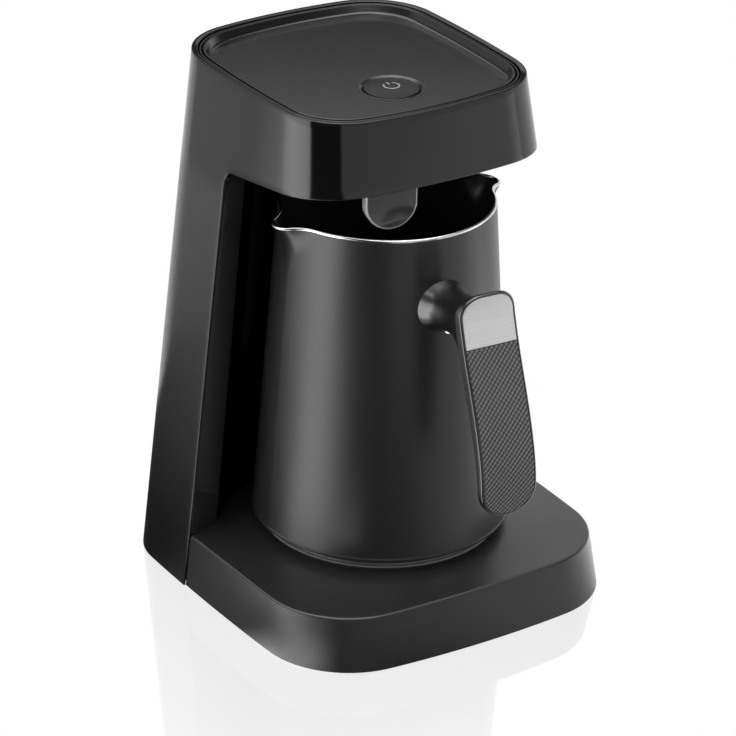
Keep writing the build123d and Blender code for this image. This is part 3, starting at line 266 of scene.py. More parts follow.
# ---- Light and camera ------------------------------------------------------------------------
# An even white room with large soft lamps at the left, front right, above and behind.  Polished
# walls see the room in broad bands like the table's: bright at the left, a dark gap, then even.
# A white panel behind the machine shows only in reflections.
WORLD_LEVEL = 0.5
SKY_BANDS = [
    (0, 1.9), (24, 1.6), (45, 0.6), (60, 0.22), (100, 0.35), (117, 0.70), (131, 0.78), (138, 1.8),
    (146, 3.0), (160, 4.2), (180, 4.1), (188, 3.4), (190, 0.02), (236, 0.02), (240, 0.90),
    (300, 0.90), (318, 1.0), (326, 1.4), (342, 1.7), (360, 1.9),
]
HIGH_BANDS = [
    (0, 0.15), (16, 0.05), (100, 0.05), (120, 0.35), (270, 0.25), (290, 0.10), (360, 0.15),
]
OVERHEAD_BANDS = [(0, 0.3), (55, 0.3), (80, 3.0), (100, 4.5), (300, 4.5), (335, 0.8), (360, 0.3)]
world = bpy.data.worlds.new("studio")
bpy.context.scene.world = world
world.use_nodes = True
room = Graph(world.node_tree)
even = room.tree.nodes["Background"]
even.inputs["Color"].default_value = WHITE
even.inputs["Strength"].default_value = WORLD_LEVEL
across, along, height = room.split(room.out("ShaderNodeTexCoord", "Generated"))
turn = turn_of(across, along)
walls_seen = turn.bands(SKY_BANDS).mix(turn.bands(HIGH_BANDS), height.step(0.10, 0.34))
room_seen = walls_seen.mix(turn.bands(OVERHEAD_BANDS), height.step(0.54, 0.74))
banded = room.node("ShaderNodeBackground", Strength=room_seen)
plain = room.node("ShaderNodeBackground", Color=WHITE, Strength=1.0)
to_eye, to_gloss = room.rays()
room.show(room.either(to_eye, room.either(to_gloss, even, banded), plain), "World Output")

MIDDLE = (0.0, 0.0, 0.12)
for name, centre, aim, width, height, power, mirrored in (
    ("left_box", (-1.3, 0.25, 0.7), MIDDLE, 0.9, 1.1, 11.0, False),
    ("front_box", (0.7, -1.3, 0.8), MIDDLE, 1.0, 1.0, 8.0, False),
    ("top_box", (0.2, -0.1, 1.5), MIDDLE, 1.1, 1.1, 9.0, True),
    ("rear_box", (0.447, 0.663, 0.752), (-0.112, -0.166, 0.752), 0.9, 0.4, 0.85, True),
):
    light = bpy.data.lights.new(name, "AREA")
    light.shape = "RECTANGLE"
    light.size, light.size_y = width, height
    light.energy = power
    lamp = placed(name, light)
    lamp.location = centre
    lamp.rotation_euler = (Vector(aim) - Vector(centre)).to_track_quat("-Z", "Y").to_euler()
    lamp.visible_glossy = mirrored

PANEL_AWAY = 0.17
PANEL_HIGH = 0.235
PANEL_SIDES = (-0.9, 0.3)
panel_white = Finish("panel_white")
panel_white.show(panel_white.glow())
toward = Vector((math.cos(REAR_TURN), math.sin(REAR_TURN), 0))
beside = Vector((-toward.y, toward.x, 0))
low_edge = [toward * PANEL_AWAY + beside * side for side in PANEL_SIDES]
high_edge = [corner + Vector((0, 0, PANEL_HIGH)) for corner in reversed(low_edge)]
panel = studio_sheet("rear_panel", low_edge + high_edge, panel_white)
panel.visible_camera = panel.visible_diffuse = panel.visible_shadow = False

CAMERA_AT = Vector((-0.8558, -1.2688, 0.8428))
AZIMUTH = math.radians(-33.87)
ELEVATION = math.radians(25.64)
ROLL = math.radians(1.45)
FOCAL_PIXELS = 3990.14
FRAME_PIXELS = 736
CENTRE_X = 16.49
CENTRE_Y = -18.81
back = Vector((math.sin(AZIMUTH) * math.cos(ELEVATION), -math.cos(AZIMUTH) * math.cos(ELEVATION),
               math.sin(ELEVATION)))
level_right = Vector((math.cos(AZIMUTH), math.sin(AZIMUTH), 0.0))
level_up = back.cross(level_right)
right = level_right * math.cos(ROLL) + level_up * math.sin(ROLL)
up = level_up * math.cos(ROLL) - level_right * math.sin(ROLL)
camera_data = bpy.data.cameras.new("camera")
camera_data.sensor_width = 36.0
camera_data.lens = FOCAL_PIXELS / FRAME_PIXELS * camera_data.sensor_width
camera_data.shift_x = -CENTRE_X / FRAME_PIXELS
camera_data.shift_y = CENTRE_Y / FRAME_PIXELS
camera = placed("camera", camera_data)
camera.matrix_world = Matrix((*zip(right, up, back, CAMERA_AT), (0, 0, 0, 1)))
bpy.context.scene.camera = camera
bpy.context.scene.view_settings.view_transform = "Standard"


# ---- Outer shell -----------------------------------------------------------------------------
# One moulding in gloss black plastic: both sides and the back of the tower, and the band round
# the overhanging head.  Its plan is a rounded square with slightly bulging sides, and it tapers.
BODY_HEIGHT = 230.0
HALF_WIDTH = (80.0, 56.0)  # pairs like this give a size at the floor and at the top
FRONT_Y = (-67.3, -24.2)
BACK_Y = (90.3, 88.1)
FRONT_CORNER = (40.5, 29.0)
BACK_CORNER = 31.0
SIDE_BULGE = 2.6
END_CROWN = 6.8
SHELL_WALL = 2.6
SHELL_BOTTOM = 0.6
SHELL_FOOT = 0.25
SEAM_Y = 35.0
HEAD_EDGE = 191.0
HEAD_EDGE_RISE = 0.12
BAY_CORNER = 6.5


def between(sizes, height):
    return sizes[0] + (sizes[1] - sizes[0]) * height / BODY_HEIGHT


def evenly(first, last, count):
    """Values in count even steps from first to last."""
    return [first + (last - first) * k / count for k in range(count + 1)]


def arc(centre, radius, first, last, count):
    """Points along an arc from one angle to another."""
    return [(centre[0] + radius * math.cos(a), centre[1] + radius * math.sin(a))
            for a in evenly(first, last, count)]


def crossing(centre_a, radius_a, centre_b, radius_b, outward):
    """Where two circles cross, on the side that lies farther outward."""
    dx, dy = centre_b[0] - centre_a[0], centre_b[1] - centre_a[1]
    gap = math.hypot(dx, dy)
    along = (radius_a ** 2 - radius_b ** 2 + gap ** 2) / (2 * gap)
    off = math.sqrt(max(0.0, radius_a ** 2 - along ** 2))
    foot = (centre_a[0] + along * dx / gap, centre_a[1] + along * dy / gap)
    choices = [(foot[0] - off * dy / gap, foot[1] + off * dx / gap),
               (foot[0] + off * dy / gap, foot[1] - off * dx / gap)]
    return max(choices, key=lambda p: p[0] * outward[0] + p[1] * outward[1])


def bearing(centre, point):
    return math.atan2(point[1] - centre[1], point[0] - centre[0])


def plan_half(height, inset, part, split=SEAM_Y):
    """Right-hand half of the body's plan, from the split to the middle of the front or back."""
    half = between(HALF_WIDTH, height) - inset
    front = between(FRONT_Y, height) + inset
    back = between(BACK_Y, height) - inset
    middle, reach = (front + back) / 2, (back - front) / 2
    side_radius = (reach ** 2 + SIDE_BULGE ** 2) / (2 * SIDE_BULGE)
    side = (half + SIDE_BULGE - side_radius, middle)
    end_radius = (half ** 2 + END_CROWN ** 2) / (2 * END_CROWN)
    if part == "front":
        end, corner, sign = (0, front - END_CROWN + end_radius), between(FRONT_CORNER, height) - inset, -1
    else:
        end, corner, sign = (0, back + END_CROWN - end_radius), BACK_CORNER - inset, 1
    pivot = crossing(side, side_radius - corner, end, end_radius - corner, (1, sign))
    first, last = bearing(side, pivot), bearing(end, pivot)
    points = []
    if part == "front":
        for k in range(7):
            y = split - BAY_CORNER * (1 - math.cos(k * math.pi / 14))
            points.append((side[0] + math.sqrt(side_radius ** 2 - (y - middle) ** 2), y))
        split -= BAY_CORNER
    points += arc(side, side_radius, math.asin((split - middle) / side_radius), first, 10)
    points += arc(pivot, corner, first, last, 22)[1:]
    points += arc(end, end_radius, last, sign * math.pi / 2, 16)[1:]
    return points


def mirrored_half(points):
    return [(-x, y) for x, y in reversed(points)]


def plan_ring(height, inset):
    """The whole plan as a closed ring that starts at the right-hand seam and runs by the front."""
    front = plan_half(height, inset, "front")
    rear = plan_half(height, inset, "rear")
    return front + mirrored_half(front)[1:] + mirrored_half(rear)[::-1][1:] + rear[::-1][1:-1]


def mesh_of(name, shape):
    """A mesh in metres from a bmesh in millimetres, which it uses up."""
    bmesh.ops.scale(shape, vec=(MM, MM, MM), verts=shape.verts)
    mesh = bpy.data.meshes.new(name)
    shape.to_mesh(mesh)
    shape.free()
    return mesh


def piece(name, shape, finish, body, slot, *replaced, crease=34.0):
    """Turns a bmesh, or a ready mesh, into a smooth piece that rides on a body."""
    mesh = mesh_of(name, shape) if isinstance(shape, bmesh.types.BMesh) else shape
    mesh.polygons.foreach_set("use_smooth", [True] * len(mesh.polygons))
    mesh.set_sharp_from_angle(angle=math.radians(crease))
    if not mesh.materials:
        mesh.materials.append(finish.material)
    made = placed(name, mesh)
    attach(made, body)
    if replaced:
        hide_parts(*replaced)


def settled(holder):
    """The mesh that an object has once its modifiers have run.  The object goes."""
    seen = holder.evaluated_get(bpy.context.evaluated_depsgraph_get())
    mesh = bpy.data.meshes.new_from_object(seen)
    holder.modifiers.clear()
    bpy.data.objects.remove(holder)
    return mesh


def skin_columns(shape, columns):
    """Skins columns of points, each joined to the next."""
    for a, b in zip(columns, columns[1:]):
        for j in range(len(a) - 1):
            shape.faces.new((a[j], b[j], b[j + 1], a[j + 1]))


def thickened(name, shape, wall, thin, thin_share, facing, edge, sharp):
    """The mesh of a sheet whose rearmost face looks along facing * Y, once it has a wall and soft
    edges.  At the thin columns of points the wall is only thin_share as thick."""
    bmesh.ops.recalc_face_normals(shape, faces=shape.faces)
    rearmost = max(shape.faces, key=lambda face: face.calc_center_median().y)
    if rearmost.normal.y * facing < 0:
        bmesh.ops.reverse_faces(shape, faces=shape.faces)
    shape.verts.index_update()
    thin_points = [point.index for column in thin for point in column]
    sheet = placed(name, mesh_of(name, shape))
    group = sheet.vertex_groups.new(name="wall")
    group.add(list(range(len(sheet.data.vertices))), 1.0, "REPLACE")
    group.add(thin_points, thin_share, "REPLACE")
    thick = sheet.modifiers.new("thick", "SOLIDIFY")
    thick.thickness, thick.offset = wall * MM, -1.0
    thick.use_even_offset = True
    thick.vertex_group = group.name
    soft = sheet.modifiers.new("soft", "BEVEL")
    soft.width, soft.segments = edge * MM, 3
    soft.limit_method, soft.angle_limit = "ANGLE", math.radians(sharp)
    return settled(sheet)


def head_low(y):
    """Height of the shell's lower edge in front of the seam, with the bay's rounded corner."""
    depth = SEAM_Y - y
    if depth >= BAY_CORNER:
        return HEAD_EDGE + HEAD_EDGE_RISE * depth
    return (HEAD_EDGE + HEAD_EDGE_RISE * BAY_CORNER - BAY_CORNER
            + math.sqrt(max(0.0, BAY_CORNER ** 2 - (BAY_CORNER - depth) ** 2)))


SPLIT = head_low(SEAM_Y)
HEAD_ROWS = 10
TOWER_ROWS = 16
front_count = 2 * len(plan_half(0, 0, "front")) - 1
total = len(plan_ring(0, 0))
shape = bmesh.new()
columns = []
for k in range(total):
    low = SPLIT
    if 0 < k < front_count - 1:
        for _ in range(5):
            low = head_low(min(SEAM_Y, plan_ring(low, 0)[k][1]))
    columns.append([shape.verts.new((*plan_ring(z, 0)[k], z)) for z in evenly(low, BODY_HEIGHT, HEAD_ROWS)])
skin_columns(shape, columns[-1:] + columns)
levels = evenly(SHELL_FOOT, SPLIT, TOWER_ROWS)[:-1]
tower_rings = [plan_ring(z, 0) for z in levels]
tower = []
for k in (*range(front_count - 1, total), 0):
    tower.append([shape.verts.new((*ring[k], z)) for ring, z in zip(tower_rings, levels)] + columns[k][:1])
skin_columns(shape, tower)
shell_mesh = thickened("shell_sheet", shape, SHELL_WALL, (tower[0][:-1], tower[-1][:-1]), 0.32, 1, 0.55, 40)

shell_gloss = Finish("shell_gloss", grey(0.0035), IOR=1.5)
x, y, z = shell_gloss.axes()
low_part = 1.0 - z.step(0.176, 0.196)
smear = shell_gloss.noise(18.0, 3.0)
shell_gloss.set("Roughness", 0.075 + smear * 0.03 + low_part * 0.13)
streak = shell_gloss.join(y * 0.8 + z * 0.6, y * 9.0 - z * 7.0, x * 6.0)
grain = shell_gloss.noise(420.0, 3.0, at=streak, Roughness=0.7)
shell_gloss.bump(grain * low_part + smear * 0.05, 0.00011, 0.55)
shell_gloss.tint((grain * low_part).step(0.45, 0.8), grey(0.0065))
piece("outer_shell_moulding", shell_mesh, shell_gloss, "machine", "gloss_black", "outer_shell")


# ---- Base cover ------------------------------------------------------------------------------
# A satin black moulding: the low platform in front, swelling gently up to the round seat of the
# hotplate, and a narrower tail that slides inside the tower.  Posts under it take the screws.
BASE_TOP = 24.0
BASE_INSET = 0.8
BASE_WALL = 2.6
BASE_REAR = 82.0
BASE_EDGE = 1.1
FIT = 0.3
DOME_RISE = 6.4
DOME_REACH = 75.0
DOME_BLEND = 0.85
DOME_FADE = 0.3265
SEAT_RADIUS = 51.25
SEAT_EDGE = 0.4
SEAT_HOLE = 47.5
SEAT_FLOOR = 25.4
SEAT_UNDER = 22.9
SEAT_WALL = 2.5
POT_Y = 6.7
PLATE_TOP = 5.2
POST_RADIUS = 4.0
POST_BORE = 1.6
POSTS = [(-58, -36), (58, -36), (-62, 20), (62, 20), (-58, 70), (58, 70)]
CARRIER_REACH = 57.5
CARRIER_TOP = 18.0
CARRIER_POST = 3.5
CARRIER_TURNS = (215, 325, 90)


def swell(x, y):
    """How far the platform rises above its rim at a point of its plan."""
    share = math.hypot(x, y - POT_Y) / DOME_REACH
    if share < DOME_BLEND:
        return DOME_RISE * (1 - share ** 2)
    rest = max(0.0, 1 - (share - DOME_BLEND) / DOME_FADE)
    return DOME_RISE * (1 - DOME_BLEND ** 2) * rest ** 2


def base_ring(height, inset):
    """The platform's plan: full width in front of the seam, narrower and cut short behind it."""
    split = SEAM_Y - FIT
    front = plan_half(height, BASE_INSET + inset, "front", split)
    rear = plan_half(height, SHELL_WALL + FIT + inset, "rear", split)
    rear = [(x, min(y, BASE_REAR - inset)) for x, y in rear]
    return front + mirrored_half(front)[1:] + mirrored_half(rear)[::-1] + rear[::-1]


def skin(shape, rings, ends):
    """Skins a list of rings of points; a ring of one point closes its end.  The two ends are
    joined to each other ("loop"), given a face each ("flat") or straight rungs ("ladder"), or
    left as they are ("open")."""
    made = [[shape.verts.new(point) for point in ring] for ring in rings]
    quads = []
    for lower, upper in zip(made, made[1:] + (made[:1] if ends == "loop" else [])):
        for k in range(max(len(lower), len(upper))):
            quads.append([lower[k % len(lower)], lower[(k - 1) % len(lower)],
                          upper[(k - 1) % len(upper)], upper[k % len(upper)]])
    if ends == "ladder":
        for ring in (made[0], made[-1]):
            quads += [[ring[k], ring[k + 1], ring[-k - 1], ring[-k]] for k in range(len(ring) // 2)]
    for quad in quads:
        corners = [point for n, point in enumerate(quad) if point not in quad[:n]]
        if len(corners) > 2:
            shape.faces.new(corners)
    if ends == "flat":
        shape.faces.new(made[0])
        shape.faces.new(made[-1][::-1])


def solid(*skins):
    """A new bmesh of one or more skins, each (rings, ends), with their faces turned outward."""
    shape = bmesh.new()
    for rings, ends in skins:
        skin(shape, rings, ends)
    bmesh.ops.recalc_face_normals(shape, faces=shape.faces)
    return shape


def level(plan, z):
    """A flat ring of points over a plan."""
    return [(x, y, z) for x, y in plan]


def domed(plan, z):
    """A ring that follows the platform's swell."""
    return [(x, y, z + swell(x, y)) for x, y in plan]


def part_way(plan, other, share):
    return [(a[0] + (b[0] - a[0]) * share, a[1] + (b[1] - a[1]) * share) for a, b in zip(plan, other)]


def round_over(radius, count):
    """A quarter round as (how far in, how far down) pairs, from its side to its top."""
    return [(radius * (1 - math.cos(a)), radius * (1 - math.sin(a))) for a in evenly(0.0, math.pi / 2, count)]


def circle_facing(plan, radius, centre_y=POT_Y):
    """A circle whose points face the points of a plan, seen from the centre."""
    turns = [math.atan2(y - centre_y, x) for x, y in plan]
    return [(radius * math.cos(t), centre_y + radius * math.sin(t)) for t in turns]


def turned(profile, centre, count=96):
    """Rings of a body turned about an upright axis, from a profile of (radius, height)."""
    turns = [FULL_TURN * k / count for k in range(count)]
    return [[(centre[0] + radius * math.cos(t), centre[1] + radius * math.sin(t), z)
             for t in (turns if radius else [0.0])] for radius, z in profile]


def tube(shape, x, y, radius, low, high, bore):
    """Adds an upright post with a blind bore from below."""
    profile = [(radius, high), (radius, low), (bore, low), (bore, high - 2)]
    skin(shape, turned(profile, (x, y), 28), "flat")


rings = [level(base_ring(z, 0.0), z) for z in (SHELL_BOTTOM, 6.0, 12.0, 18.0)]
rings += [domed(base_ring(BASE_TOP, inset), BASE_TOP - drop) for inset, drop in round_over(BASE_EDGE, 6)]
rim = base_ring(BASE_TOP, BASE_EDGE)
seat = circle_facing(rim, SEAT_RADIUS + SEAT_EDGE)
rings += [domed(part_way(rim, seat, k / 18), BASE_TOP) for k in range(1, 19)]
seat_top = rings[-1][0][2]
profile = [(SEAT_RADIUS + reach, seat_top - drop) for reach, drop in round_over(SEAT_EDGE, 3)[2::-1]]
profile += [(SEAT_RADIUS, SEAT_FLOOR), (SEAT_HOLE, SEAT_FLOOR), (SEAT_HOLE, SEAT_UNDER),
            (SEAT_RADIUS + SEAT_WALL, SEAT_UNDER)]
rings += [level(circle_facing(rim, radius), z) for radius, z in profile]
under_seat = circle_facing(rim, SEAT_RADIUS + SEAT_WALL)
under_rim = base_ring(BASE_TOP - BASE_WALL, BASE_WALL)
rings += [domed(part_way(under_seat, under_rim, k / 8), BASE_TOP - BASE_WALL) for k in range(9)]
rings.append(level(base_ring(SHELL_BOTTOM, BASE_WALL), SHELL_BOTTOM))
shape = solid((rings, "loop"))
for x, y in POSTS:
    tube(shape, x, y, POST_RADIUS, PLATE_TOP, BASE_TOP - BASE_WALL / 2 + swell(x, y), POST_BORE)
for angle in CARRIER_TURNS:
    x = CARRIER_REACH * math.cos(math.radians(angle))
    y = POT_Y + CARRIER_REACH * math.sin(math.radians(angle))
    tube(shape, x, y, CARRIER_POST, CARRIER_TOP, BASE_TOP - BASE_WALL / 2 + swell(x, y), POST_BORE)

base_satin = Finish("base_satin", grey(0.013))
cloud = base_satin.noise(26.0, 3.0)
spark = base_satin.noise(5200.0, 2.0)
base_satin.set("Roughness", 0.26 + cloud * 0.06 + spark * 0.05)
base_satin.bump(spark, 0.00004, 0.5)
base_satin.tint(spark.step(0.35, 0.75), grey(0.016))
piece("base_moulding", shape, base_satin, "machine", "satin_black", "base_cover")


# ---- Tower front -----------------------------------------------------------------------------
# A piano-black moulding that closes the tower: a narrow slanting strip down each edge, and
# between them a deep round hollow that clears the pot.
STRIP_WIDTH = (16.9, 11.9)
STRIP_DEPTH = 3.6
HOLLOW_SAG = (30.0, 26.0)
EDGE_Y = 35.2
LAP = 1.15
RIDGE = 0.9
FRONT_WALL = 3.0
FRONT_ROWS = 12


def front_columns(height):
    """Plan of the tower's front at one height, from right to left, with rounded ridges."""
    outer = between(HALF_WIDTH, height) + SIDE_BULGE
    edge = outer - LAP
    inner = outer - between(STRIP_WIDTH, height)
    inner_y = EDGE_Y + STRIP_DEPTH
    sag = between(HOLLOW_SAG, height)
    radius = (inner ** 2 + sag ** 2) / (2 * sag)
    centre = (0.0, inner_y + sag - radius)
    strip = math.atan2(STRIP_DEPTH, edge - inner)
    leave = 2 * math.atan2(sag, inner)
    cut = RIDGE * 3 * math.tan((leave - strip) / 4)
    start = (inner + cut * math.cos(strip), inner_y - cut * math.sin(strip))
    points = list(zip(evenly(edge, start[0], 6), evenly(EDGE_Y, start[1], 6)))
    first = bearing(centre, (inner, inner_y)) + cut / radius
    last = (centre[0] + radius * math.cos(first), centre[1] + radius * math.sin(first))
    for k in range(1, 6):
        t = k / 6
        points.append((
            start[0] * (1 - t) ** 2 + inner * 2 * t * (1 - t) + last[0] * t ** 2,
            start[1] * (1 - t) ** 2 + inner_y * 2 * t * (1 - t) + last[1] * t ** 2,
        ))
    points += arc(centre, radius, first, math.pi / 2, 36)
    return points + mirrored_half(points)[1:]


low, high = BASE_TOP + 0.1, HEAD_EDGE + 1.7
shape = bmesh.new()
columns = []
for k in range(len(front_columns(low))):
    top = high + (SEAM_Y - front_columns(high)[k][1]) * HEAD_EDGE_RISE
    columns.append([shape.verts.new((*front_columns(z)[k], z)) for z in evenly(low, top, FRONT_ROWS)])
skin_columns(shape, columns)
front_mesh = thickened("tower_sheet", shape, FRONT_WALL, (columns[0], columns[-1]), 0.3, -1, 0.4, 45)
piano = Finish("piano_black", grey(0.019), Specular_IOR_Level=0.0, Coat_Roughness=0.08)
haze = piano.noise(14.0, 3.0)
# The hollow's colour is darkened to near black: painted shade in the recess.
hollow = piano.axes()[1].step(0.0388, 0.0405)
piano.set("Roughness", 0.35 + haze * 0.10)
piano.set("Coat Weight", 1.0 - hollow * (0.86 - haze * 0.06))
piano.tint(hollow, grey(0.0015, 0.0001))
piano.bump(haze, 0.00003, 0.4)
piece("tower_front_moulding", front_mesh, piano, "machine", "gloss_black", "tower_front")


# ---- Head underside --------------------------------------------------------------------------
# The plate that closes the head from below, held by four screws that go up into the tray's posts.
# It is moulded in the same black as the shell, with a fine satin skin.
def refinish(finish, *names):
    """Gives nodes that stay as drawn a finish."""
    for name in names:
        nodes[name].data.materials.clear()
        nodes[name].data.materials.append(finish.material)


underside_satin = Finish("underside_satin", grey(0.012)).wear(2600.0, 2.0, (0.30, 0.12), bump=(0.00004, 0.5))
refinish(underside_satin, "head_underside")


# ---- Foam sensor lens ------------------------------------------------------------------------
# A tongue of smoked plastic that hangs over the pot's mouth and watches the foam rise.  It is a
# thick moulded plate with a round end and soft edges, pushed up into a slot of the head.
SENSOR_TURN = math.radians(-12.0)
SENSOR_AT = (-19.2, -23.5)
SENSOR_HALF = 11.3
SENSOR_ROUND = 11.45
SENSOR_LOW = 178.4
SENSOR_HIGH = 203.8
SENSOR_THICK = 5.0
SENSOR_EDGE = 0.7


def tongue(inset):
    """The tongue's outline: straight sides down to a round end, from its lowest point round."""
    radius = SENSOR_ROUND - inset
    half = SENSOR_HALF - inset
    centre_z = SENSOR_LOW + SENSOR_ROUND
    edge = math.asin(min(1.0, half / radius))
    right = [(radius * math.sin(a), centre_z - radius * math.cos(a)) for a in evenly(0.0, edge, 18)]
    foot = right[-1][1]
    right += [(half, foot + (SENSOR_HIGH - inset - foot) * k / 4) for k in range(1, 5)]
    right.append((0.0, SENSOR_HIGH - inset))
    return right + [(-a, z) for a, z in reversed(right[1:-1])]


edge = round_over(SENSOR_EDGE, 5)
layers = [(inset, drop - SENSOR_THICK / 2) for drop, inset in edge]
layers += [(inset, SENSOR_THICK / 2 - drop) for inset, drop in edge]
rings = []
for inset, depth in layers:
    ring = []
    for a, z in tongue(inset):
        x = SENSOR_AT[0] + a * math.cos(SENSOR_TURN) - depth * math.sin(SENSOR_TURN)
        y = SENSOR_AT[1] + a * math.sin(SENSOR_TURN) + depth * math.cos(SENSOR_TURN)
        ring.append((x, y, z))
    rings.append(ring)
smoked = Finish("smoked_lens", grey(0.006), Coat_Weight=0.6, Coat_Roughness=0.05)
x, y, z = smoked.axes()
fog = smoked.noise(160.0, 3.0)
smoked.set("Roughness", 0.14 + fog * 0.08)
# Painted light: the tongue's colour grows lighter towards its bottom.
deep = (1.0 - z.step(0.177, 0.193)) * (0.7 + fog * 0.3)
# Painted highlight: a pale line along the tongue's sides and round end.
across = (x - SENSOR_AT[0] * MM) * math.cos(SENSOR_TURN) + (y - SENSOR_AT[1] * MM) * math.sin(SENSOR_TURN)
below = (z - (SENSOR_LOW + SENSOR_ROUND) * MM).math("MINIMUM", 0.0)
outward = (across ** 2.0 + below ** 2.0) ** 0.5
painted_edge_highlight = outward.step(SENSOR_HALF * MM - 0.0009, SENSOR_HALF * MM - 0.0003)
painted_lower_light = smoked.blend(deep, smoked.color, grey(0.065, 0.001))
smoked.set("Base Color", smoked.blend(painted_edge_highlight, painted_lower_light, (0.42, 0.42, 0.42)))
piece("sensor_tongue", solid((rings, "ladder")), smoked, "machine", "smoked_lens", "sensor_lens", crease=60.0)


# ---- Top tray --------------------------------------------------------------------------------
# A shallow satin tray sunk in the head's top, where cups can stand.  It is one moulding with a
# thin raised rim, a sloping soft-cornered wall, and posts beneath it for the head's screws.
def soften(profile, closed=False, steps=5):
    """Rounds the corners of a profile given as (across, height, corner radius)."""
    points = []
    count = len(profile)
    for k, (a, z, radius) in enumerate(profile):
        if not radius or (not closed and k in (0, count - 1)):
            points.append((a, z))
            continue
        here = Vector((a, z))
        before = (Vector(profile[k - 1][:2]) - here).normalized()
        after = (Vector(profile[(k + 1) % count][:2]) - here).normalized()
        half = before.angle(after) / 2
        reach = radius / math.tan(half)
        start, end = here + before * reach, here + after * reach
        centre = here + (before + after).normalized() * radius / math.sin(half)
        for n in range(steps + 1):
            ray = (start - centre).lerp(end - centre, n / steps).normalized()
            points.append(tuple(centre + ray * radius))
    return points


TRAY_INSET = 4.5
TRAY_FLOOR = 226.0
TRAY_WALL = 2.5
TRAY_RIM = 229.7
TRAY_SEAT = 222.0
TRAY_FOOT = 220.3
BUTTON_Y = 6.0
BUTTON_HOLE = 14.05
HEAD_POSTS = [(-40, -2), (40, -2), (-25, 48), (25, 48)]
HEAD_POST_LOW = 207.5
BOARD_TOP = 208.05
BOARD_POSTS = [(-28, -8), (28, -8), (-28, 26), (28, 26)]
BOARD_POST_RADIUS = 3.0
BOARD_POST_BORE = 1.3
POST_TOP = TRAY_FLOOR - 2.3
wall = soften([
    (2.9, TRAY_FOOT, 0), (2.9, TRAY_SEAT, 0), (TRAY_INSET, TRAY_SEAT, 0), (TRAY_INSET, TRAY_RIM - 1.5, 0),
    (4.7, TRAY_RIM, 0.3), (5.6, TRAY_RIM, 0.3), (7.4, TRAY_FLOOR, 1.6), (11.0, TRAY_FLOOR, 0),
])
rings = [level(plan_ring(z, inset), z) for inset, z in wall]
rim = plan_ring(TRAY_FLOOR, wall[-1][0])
hole = circle_facing(rim, BUTTON_HOLE, BUTTON_Y)
rings += [level(part_way(rim, hole, k / 8), TRAY_FLOOR) for k in range(1, 9)]
rings.append(level(hole, TRAY_FLOOR - TRAY_WALL))
rings += [level(plan_ring(TRAY_SEAT, 7.1), z) for z in (TRAY_FLOOR - TRAY_WALL, TRAY_FOOT)]
shape = solid((rings, "loop"))
for x, y in HEAD_POSTS:
    tube(shape, x, y, POST_RADIUS, HEAD_POST_LOW, POST_TOP, POST_BORE)
for x, y in BOARD_POSTS:
    tube(shape, x, y, BOARD_POST_RADIUS, BOARD_TOP, POST_TOP, BOARD_POST_BORE)
tray_satin = Finish("tray_satin", grey(0.006))
pores = tray_satin.noise(3800.0, 2.0)
cloud = tray_satin.noise(20.0, 3.0)
tray_satin.set("Roughness", 0.11 + pores * 0.04 + cloud * 0.03)
tray_satin.bump(pores, 0.00004, 0.5)
tray_satin.tint(cloud.step(0.3, 0.7) * 0.5 + pores.step(0.3, 0.7) * 0.5, grey(0.009))
piece("tray_moulding", shape, tray_satin, "machine", "satin_black", "top_tray")


# ---- Trim ring -------------------------------------------------------------------------------
# A slim polished ring of dark grey plastic with soft edges.  It is dropped into the gap between
# the shell and the tray.
TRIM_OUTER, TRIM_INNER = 3.2, 3.95
TRIM_LOW, TRIM_TOP = 222.1, 229.4
TRIM_EDGE = 0.25
profile = soften([(TRIM_OUTER, TRIM_LOW, 0), (TRIM_OUTER, TRIM_TOP, TRIM_EDGE),
                  (TRIM_INNER, TRIM_TOP, TRIM_EDGE), (TRIM_INNER, TRIM_LOW, 0)], steps=4)
trim = Finish("trim_grey", grey(0.014), Metallic=0.2).wear(90.0, 3.0, (0.16, 0.1))
shape = solid(([level(plan_ring(z, inset), z) for inset, z in profile], "loop"))
piece("trim_moulding", shape, trim, "machine", "trim_grey", "top_trim_ring")


# ---- Power button and its bezel --------------------------------------------------------------
# A domed round key of soft-gloss black plastic that dips 1.2 mm, set in a dished ring.  On it a
# thin pale standby mark: an open ring with a bar, printed on.
BUTTON_RADIUS = 11.7
BUTTON_PROUD = 1.0
BUTTON_AT = (0.0, BUTTON_Y)
FLANGE_RADIUS = 13.2
FLANGE_TOP, FLANGE_LOW = 221.6, 220.1
PIN_RADIUS = 3.2
PIN_LOW = 214.0
MARK_RADIUS = 3.3
MARK_HALF = 0.34
MARK_RISE = 0.05
MARK_GAP = math.radians(38)
MARK_BAR = (1.3, 3.9)


def key_top(radius):
    return TRAY_FLOOR + BUTTON_PROUD * (1 - (radius / BUTTON_RADIUS) ** 2) - 0.02


profile = [(r, key_top(r)) for r in (0, 2, 4, 6, 7.5, 9, 10, 10.6)]
profile += soften([
    (10.8, key_top(10.8), 0), (BUTTON_RADIUS, key_top(11.62), 0.5), (BUTTON_RADIUS, FLANGE_TOP, 0),
    (FLANGE_RADIUS, FLANGE_TOP, 0), (FLANGE_RADIUS, FLANGE_LOW, 0), (PIN_RADIUS, FLANGE_LOW, 0),
    (PIN_RADIUS, PIN_LOW, 0),
])
profile.append((0, PIN_LOW))
key_black = Finish("key_black", grey(0.013), Specular_IOR_Level=0.2)
key_black.wear(120.0, 3.0, (0.26, 0.12), (0.3, 0.8), grey(0.018, 0.001))
shape = solid((turned(profile, BUTTON_AT), "open"))
piece("button_key", shape, key_black, "button", "button_black", "power_button")


